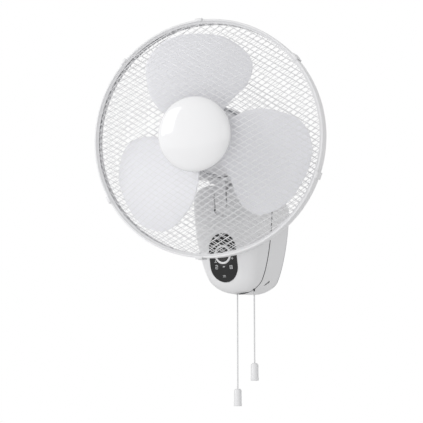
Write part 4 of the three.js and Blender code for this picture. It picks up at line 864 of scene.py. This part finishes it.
AXLE_ABOVE_TILT = 120.4 * MM
HEAD_TURN = math.radians(16.53)
HEAD_FRAME = (NECK_FRAME @ Matrix.Translation((0, SWING_BEHIND_TILT, AXLE_ABOVE_TILT))
              @ Matrix.Rotation(HEAD_TURN, 4, "Z"))
COVER_RADIUS = 67 * MM
COVER_FRONT, COVER_BACK = -60.6 * MM, 52 * MM
COVER_ROUNDING = 18 * MM
COVER_BOTTOM = -62.4 * MM
COVER_WALL = 2.5 * MM
SKIRT_HALF_WIDTH, SKIRT_FRONT, SKIRT_BACK, SKIRT_TOP = 54 * MM, -45 * MM, 40 * MM, -20 * MM
SKIRT_CORNER = 18 * MM
SOCKET_RADIUS = 21 * MM
VENT_COUNT, VENT_INNER, VENT_OUTER, VENT_HALF_WIDTH = 20, 22 * MM, 44 * MM, 1.4 * MM
VENT_BEHIND, VENT_AHEAD = 5 * MM, 8 * MM
TO_BACK = Matrix.Rotation(-math.pi / 2, 4, "X")    # Z of a turned piece points back to the wall


def cover_form(inset):
    """The pot and the skirt as one closed form, drawn in all round by inset."""
    radius, back = COVER_RADIUS - inset, COVER_BACK - inset
    rounding = COVER_ROUNDING - inset / 2
    profile = [(0, COVER_FRONT - inset), (radius, COVER_FRONT - inset)]
    for i in range(13):
        a = math.pi / 2 * i / 12
        profile.append((radius - rounding + rounding * math.cos(a),
                        back - rounding + rounding * math.sin(a)))
    pot = placed(turned(profile + [(0, back)]), TO_BACK)
    skirt = box((-SKIRT_HALF_WIDTH + inset, SKIRT_FRONT + inset, COVER_BOTTOM + inset),
                (SKIRT_HALF_WIDTH - inset, SKIRT_BACK - inset, SKIRT_TOP))
    upright = [e for e in skirt.edges if abs((e.verts[0].co - e.verts[1].co).normalized().z) > 0.9]
    bmesh.ops.bevel(skirt, geom=upright, offset=SKIRT_CORNER - inset, segments=10, profile=0.5,
                    affect="EDGES", material=-1)
    below = box((-0.1, -0.1, -0.1), (0.1, 0.1, COVER_BOTTOM + inset))
    pot = combined(pot, skirt, "UNION")
    return combined(pot, below)


cover = cover_form(0)
soften(cover, 1.5 * MM, sharper_than=40)
cover = combined(cover, cover_form(COVER_WALL))
socket = cylinder(SOCKET_RADIUS, (0, 0, COVER_BOTTOM - 7.6 * MM), (0, 0, COVER_BOTTOM + 7.4 * MM), 96)
cover = combined(cover, socket, rounding=0.5 * MM)
for i in range(VENT_COUNT):
    vent = box((VENT_INNER, COVER_BACK - VENT_AHEAD, -VENT_HALF_WIDTH),
               (VENT_OUTER, COVER_BACK + VENT_BEHIND, VENT_HALF_WIDTH))
    cover = combined(cover, placed(vent, Matrix.Rotation(2 * math.pi * i / VENT_COUNT, 4, "Y")))
placed(cover, HEAD_FRAME)
make_piece(cover, "motor_housing", "head", "white_plastic", WHITE_FINISH, "motor_cover")

# ---------------------------------------------------------------- head: guards of wire mesh
# Two shallow domes of white coated steel wire. Straight wires in two directions are welded where they
# cross, bent over the dome and trimmed between a flat centre plate and an outer hoop.

RIM_AHEAD = 126.9 * MM         # the rim's middle plane, from the swing axis
AXLE_FRAME = HEAD_FRAME @ Matrix.Translation((0, -RIM_AHEAD, 0)) @ Matrix.Rotation(math.pi / 2, 4, "X")
GUARD_RADIUS = 210.5 * MM      # where the wires go under the rim
GUARD_EDGE = 8.5 * MM          # ahead of the rim's middle plane
FRONT_RISE, REAR_RISE = 72.5 * MM, 57.5 * MM
FRONT_CENTRE, REAR_CENTRE = 66 * MM, 60 * MM
PLATE_BORE = 17.4 * MM
WIRE_DIAMETER = 1.15 * MM
WIRE_SPACING = 9.14 * MM
WIRE_STEP = 11 * MM
WIRE_ANGLES = (27.5, -34.5)
WIRE_FINISH = moulded("coated_wire", WHITE_COLOUR, 0.35)
FRONT_POWER, REAR_POWER = 2.5, 1.9     # how soon the domes fall off towards the rim
HOOP_OUTSIDE, HOOP_INSIDE = 2 * MM, 2.6 * MM
HOOP_DIAMETER = 2.8 * MM


def front_dome(r):
    """How far ahead of the rim's middle plane the front guard stands at a radius."""
    return GUARD_EDGE + FRONT_RISE * (1 - (r / GUARD_RADIUS) ** FRONT_POWER)


def rear_dome(r):
    """The same for the rear guard, which is flat round the motor."""
    share = max(r - REAR_CENTRE, 0) / (GUARD_RADIUS - REAR_CENTRE)
    return -GUARD_EDGE - REAR_RISE * (1 - share ** REAR_POWER)


def wire_net(dome, centre, inward):
    """The wires of one guard as a mesh; inward is +1 where the dome's inner side is ahead of it."""
    curve = bpy.data.curves.new("wires", "CURVE")
    curve.dimensions = "3D"
    curve.bevel_depth = WIRE_DIAMETER / 2
    curve.bevel_resolution = 1
    curve.use_fill_caps = True
    outer = GUARD_RADIUS + 1 * MM
    for layer, angle in enumerate(WIRE_ANGLES):
        along = Vector((math.cos(math.radians(angle)), math.sin(math.radians(angle))))
        across = Vector((-along.y, along.x))
        sunk = inward * WIRE_DIAMETER * (0.5 + 0.7 * layer)
        count = int(outer / WIRE_SPACING)
        for number in range(-count, count + 1):
            offset = (number + 0.5) * WIRE_SPACING
            if abs(offset) >= outer - 2 * MM:
                continue
            reach = math.sqrt(outer ** 2 - offset ** 2)
            inner = math.sqrt(centre ** 2 - offset ** 2) if abs(offset) < centre else 0
            spans = [(-reach, -inner), (inner, reach)] if inner else [(-reach, reach)]
            for start, end in spans:
                steps = max(2, round((end - start) / WIRE_STEP))
                wire = curve.splines.new("POLY")
                wire.points.add(steps)
                for i, point in enumerate(wire.points):
                    place = across * offset + along * (start + (end - start) * i / steps)
                    point.co = (place.x, place.y, dome(place.length) + sunk, 1)
    maker = bpy.data.objects.new("wires", curve)
    bpy.context.collection.objects.link(maker)
    bm = bmesh.new()
    bm.from_mesh(maker.evaluated_get(bpy.context.evaluated_depsgraph_get()).to_mesh())
    bpy.data.objects.remove(maker)
    return bm


def add_to(bm, other):
    """Another bmesh joined into this one, as it lies."""
    mesh = bpy.data.meshes.new("part")
    other.to_mesh(mesh)
    other.free()
    bm.from_mesh(mesh)
    bpy.data.meshes.remove(mesh)


def hoop(height, sides=10):
    """The ring of thick wire that a guard's wires end on."""
    section = []
    for i in range(sides):
        a = 2 * math.pi * i / sides
        section.append((GUARD_RADIUS + HOOP_OUTSIDE + HOOP_DIAMETER / 2 * math.cos(a),
                        height + HOOP_DIAMETER / 2 * math.sin(a)))
    return turned(section, 144, closed=True)


front_net = wire_net(front_dome, FRONT_CENTRE - 1 * MM, -1)
add_to(front_net, hoop(GUARD_EDGE - HOOP_INSIDE))
seat = front_dome(FRONT_CENTRE)
centre_plate = turned([
    (30 * MM, seat - 3 * MM), (58 * MM, seat - 3 * MM), (62 * MM, seat - 1.8 * MM),
    (FRONT_CENTRE, seat - 1.8 * MM), (FRONT_CENTRE, seat - 0.2 * MM), (61 * MM, seat - 0.2 * MM),
    (57 * MM, seat - 1.4 * MM), (30 * MM, seat - 1.4 * MM)], closed=True)
add_to(front_net, centre_plate)
placed(front_net, AXLE_FRAME)
make_piece(front_net, "front_grille", "head", "white_wire", WIRE_FINISH, "front_guard")

rear_net = wire_net(rear_dome, REAR_CENTRE - 1 * MM, 1)
add_to(rear_net, hoop(HOOP_INSIDE - GUARD_EDGE))
deep = rear_dome(0)
rear_plate = turned([
    (PLATE_BORE, deep), (REAR_CENTRE, deep), (REAR_CENTRE, deep + 1.8 * MM), (54 * MM, deep + 1.8 * MM),
    (51 * MM, deep + 3 * MM), (40 * MM, deep + 3 * MM), (37 * MM, deep + 1.8 * MM),
    (PLATE_BORE, deep + 1.8 * MM)], closed=True)
add_to(rear_net, rear_plate)
placed(rear_net, AXLE_FRAME)
make_piece(rear_net, "rear_grille", "head", "white_wire", WIRE_FINISH, "rear_guard")

# ---------------------------------------------------------------- head: guard nut
# A ribbed ring nut that holds the rear guard on the motor's nose.

NUT_BACK = -GUARD_EDGE - REAR_RISE + 2.3 * MM
NUT_FRONT = NUT_BACK + 9 * MM
NUT_BORE, NUT_RADIUS = 17.3 * MM, 27 * MM
nut = turned([(NUT_BORE, NUT_BACK), (NUT_RADIUS, NUT_BACK), (NUT_RADIUS, NUT_FRONT), (NUT_BORE, NUT_FRONT)],
             72, closed=True)
ribs = [f for f in nut.faces if f.calc_center_median().xy.length > NUT_RADIUS - 1 * MM and f.index % 2]
bmesh.ops.inset_individual(nut, faces=ribs, thickness=0.25 * MM, depth=-0.6 * MM)
soften(nut, 0.3 * MM, segments=1, sharper_than=60)
placed(nut, AXLE_FRAME)
make_piece(nut, "ring_nut", "head", "white_plastic", WHITE_FINISH, "guard_nut")

# ---------------------------------------------------------------- head: rim band
# A white plastic band that covers the two hoops and the wires' ends. Its front and back are rounded
# beads that slope in to the mesh, and its two halves meet in a fine groove.

RIM_RADIUS = 217.5 * MM
RIM_INNER = 215.1 * MM
RIM_BEAD = 14 * MM             # half the rim's depth at the beads
half_rim = [
    (RIM_RADIUS - 0.5 * MM, 0), (RIM_RADIUS, 0.5 * MM), (RIM_RADIUS, 11.8 * MM),
    (RIM_RADIUS - 0.5 * MM, 13 * MM), (RIM_RADIUS - 1.5 * MM, 13.8 * MM), (RIM_RADIUS - 2.6 * MM, RIM_BEAD),
    (RIM_RADIUS - 3.6 * MM, 13.5 * MM), (RIM_RADIUS - 4 * MM, 12.4 * MM), (RIM_RADIUS - 4.6 * MM, 11 * MM),
    (210.6 * MM, 9.6 * MM), (209.9 * MM, 8.9 * MM), (210.4 * MM, 8.2 * MM), (213.6 * MM, 9.2 * MM),
    (RIM_INNER, 8.4 * MM), (RIM_INNER, 0)]
rim = turned([(r, -h) for r, h in reversed(half_rim[1:-1])] + half_rim, 192, closed=True)
placed(rim, AXLE_FRAME)
make_piece(rim, "rim_band", "head", "white_plastic", WHITE_FINISH, "guard_rim")

# ---------------------------------------------------------------- head: guard clips
# Six springy plastic clips grip across the rim band and hold the two guards together.

CLIP_ANGLES = (90.3, 36.8, -22.8, -96.7, -153.4, 134.1)
CLIP_HALF_LENGTH = 6.5 * MM
CLIP_WALL = 2.2 * MM
CLIP_LIP = 4 * MM
THUMB_HALF_LENGTH, THUMB_HALF_DEPTH = 4 * MM, 5 * MM


def clip_section():
    """The clip across the rim, as radius and height: a bridge, two legs and their turned-in lips."""
    inside = RIM_RADIUS + SEAT_GAP
    outside = inside + CLIP_WALL
    side = RIM_BEAD + SEAT_GAP
    half = [(outside, 0), (outside, side - 1 * MM), (outside - 1 * MM, side + 1.4 * MM),
            (outside - 2.4 * MM, side + CLIP_WALL),
            (inside - CLIP_LIP + 1 * MM, side + CLIP_WALL), (inside - CLIP_LIP, side + CLIP_WALL - 1 * MM),
            (inside - CLIP_LIP, side), (inside, side), (inside, 0)]
    return half + [(r, -h) for r, h in reversed(half[1:-1])]


for number, angle in enumerate(CLIP_ANGLES, 1):
    loops = [[Vector((r, y, h)) for r, h in clip_section()] for y in (-CLIP_HALF_LENGTH, CLIP_HALF_LENGTH)]
    clip = lofted(loops)
    thumb = box((RIM_RADIUS + 1.6 * MM, -THUMB_HALF_LENGTH, -THUMB_HALF_DEPTH),
                (RIM_RADIUS + 3.6 * MM, THUMB_HALF_LENGTH, THUMB_HALF_DEPTH))
    clip = combined(clip, thumb, "UNION")
    soften(clip, 0.5 * MM, segments=2, sharper_than=40)
    placed(clip, AXLE_FRAME @ Matrix.Rotation(math.radians(angle), 4, "Z"))
    make_piece(clip, f"rim_clip_{number}", "head", "white_plastic", WHITE_FINISH, f"guard_clip_{number}")

# ---------------------------------------------------------------- head: hub cap
# A glossy white dish, moulded in one smooth bulge with a short upright edge.
# It is clipped into the middle of the front guard.

CAP_RADIUS = 67 * MM
CAP_EDGE = 4 * MM
CAP_BULGE = 20 * MM
CAP_WALL = 2 * MM
cap_foot = front_dome(CAP_RADIUS) + SEAT_GAP


def cap_bulge(inset):
    """The bulge's quarter arc from edge to middle, drawn in by inset."""
    arc = []
    for i in range(25):
        a = math.pi / 2 * i / 24
        arc.append(((CAP_RADIUS - inset) * math.cos(a),
                    cap_foot + CAP_EDGE + (CAP_BULGE - inset) * math.sin(a)))
    return arc


cap_edge = [(CAP_RADIUS - CAP_WALL, cap_foot), (CAP_RADIUS - 0.4 * MM, cap_foot),
            (CAP_RADIUS, cap_foot + 0.4 * MM)]
cap = turned(cap_edge + cap_bulge(0) + cap_bulge(CAP_WALL)[::-1] + cap_edge[:1], 128)
placed(cap, AXLE_FRAME)
make_piece(cap, "centre_cap", "head", "gloss_white", GLOSS_FINISH, "hub_cap", smooth=50)

# ---------------------------------------------------------------- rotor: blades
# Three broad twisted blades and their hub, moulded together in pale satin plastic with a cool tinge.
# Each blade is thin, rounded at its edges, and steeper at the root than at the tip.

BLADE_FIRST_ANGLE = 94
TRAILING_EDGE = ((27, 44), (50, 50), (80, 50), (115, 46), (150, 38), (175, 32), (190, 25), (199, 15))
LEADING_EDGE = ((27, -36), (50, -37), (75, -38), (120, -42), (162, -36), (187, -18), (193, -6), (198, 6))
BLADE_THICKNESS = 2.2 * MM
BLADE_ROOT_AHEAD = 26
BLADE_ROOT_PITCH, BLADE_TIP_PITCH = 34, 13
BLADE_ROWS, BLADE_COLUMNS = 44, 26
HUB_RADIUS, HUB_BACK, HUB_FRONT = 33 * MM, -2 * MM, 52 * MM
HUB_BORE = 4.3 * MM
BLADE_COLOUR = (0.85, 0.85, 0.88, 1)
BLADE_FINISH = moulded("blade_plastic", BLADE_COLOUR, 0.42, grain=0.2, mottle=0.04)


def on_edge(points, share):
    """Distance and degrees on a smooth curve through the points, a share of the way along them."""
    place = share * (len(points) - 1)
    i = min(int(place), len(points) - 2)
    t = place - i
    p0, p1, p2, p3 = (Vector(points[max(0, min(k, len(points) - 1))]) for k in range(i - 1, i + 3))
    v0, v1 = (p2 - p0) / 2, (p3 - p1) / 2
    return (2 * p1 - 2 * p2 + v0 + v1) * t ** 3 + (3 * p2 - 3 * p1 - 2 * v0 - v1) * t ** 2 + v0 * t + p1


def blade_point(u, v):
    """A point of the blade's middle surface: u from root to tip, v from leading to trailing edge."""
    along = 1 - (1 - u) ** 1.25
    radius, degrees = on_edge(LEADING_EDGE, along).lerp(on_edge(TRAILING_EDGE, along), v)
    share = radius / TRAILING_EDGE[-1][0]
    pitch = math.radians(BLADE_ROOT_PITCH + (BLADE_TIP_PITCH - BLADE_ROOT_PITCH) * share)
    turn = math.radians(degrees)
    rise = BLADE_ROOT_AHEAD * (1 - share) + radius * turn * math.tan(pitch) * (1 - 0.25 * share)
    return Vector((radius * math.cos(turn), radius * math.sin(turn), rise)) * MM


def blade():
    """One blade, given its thickness and rounded edges."""
    bm = bmesh.new()
    bmesh.ops.create_grid(bm, x_segments=BLADE_ROWS, y_segments=BLADE_COLUMNS, size=0.5)
    for vert in bm.verts:
        vert.co = blade_point(vert.co.x + 0.5, vert.co.y + 0.5)
    bmesh.ops.recalc_face_normals(bm, faces=bm.faces)
    bm.normal_update()
    for vert in bm.verts:
        vert.co += vert.normal * BLADE_THICKNESS / 2
    bmesh.ops.solidify(bm, geom=bm.faces, thickness=BLADE_THICKNESS)
    bmesh.ops.recalc_face_normals(bm, faces=bm.faces)
    return soften(bm, 0.7 * MM, segments=2, sharper_than=60)


hub = turned([
    (HUB_BORE, HUB_BACK), (HUB_RADIUS - 1 * MM, HUB_BACK), (HUB_RADIUS, HUB_BACK + 1 * MM),
    (HUB_RADIUS, HUB_FRONT - 5 * MM), (HUB_RADIUS - 1.5 * MM, HUB_FRONT - 1.5 * MM),
    (HUB_RADIUS - 5 * MM, HUB_FRONT), (HUB_BORE, HUB_FRONT)], closed=True)
for i in range(3):
    add_to(hub, placed(blade(), Matrix.Rotation(math.radians(BLADE_FIRST_ANGLE + 120 * i), 4, "Z")))
placed(hub, AXLE_FRAME)
make_piece(hub, "blade_moulding", "rotor", "blade_plastic", BLADE_FINISH, "fan_blades")
dress(WHITE_FINISH, "blade_nut")
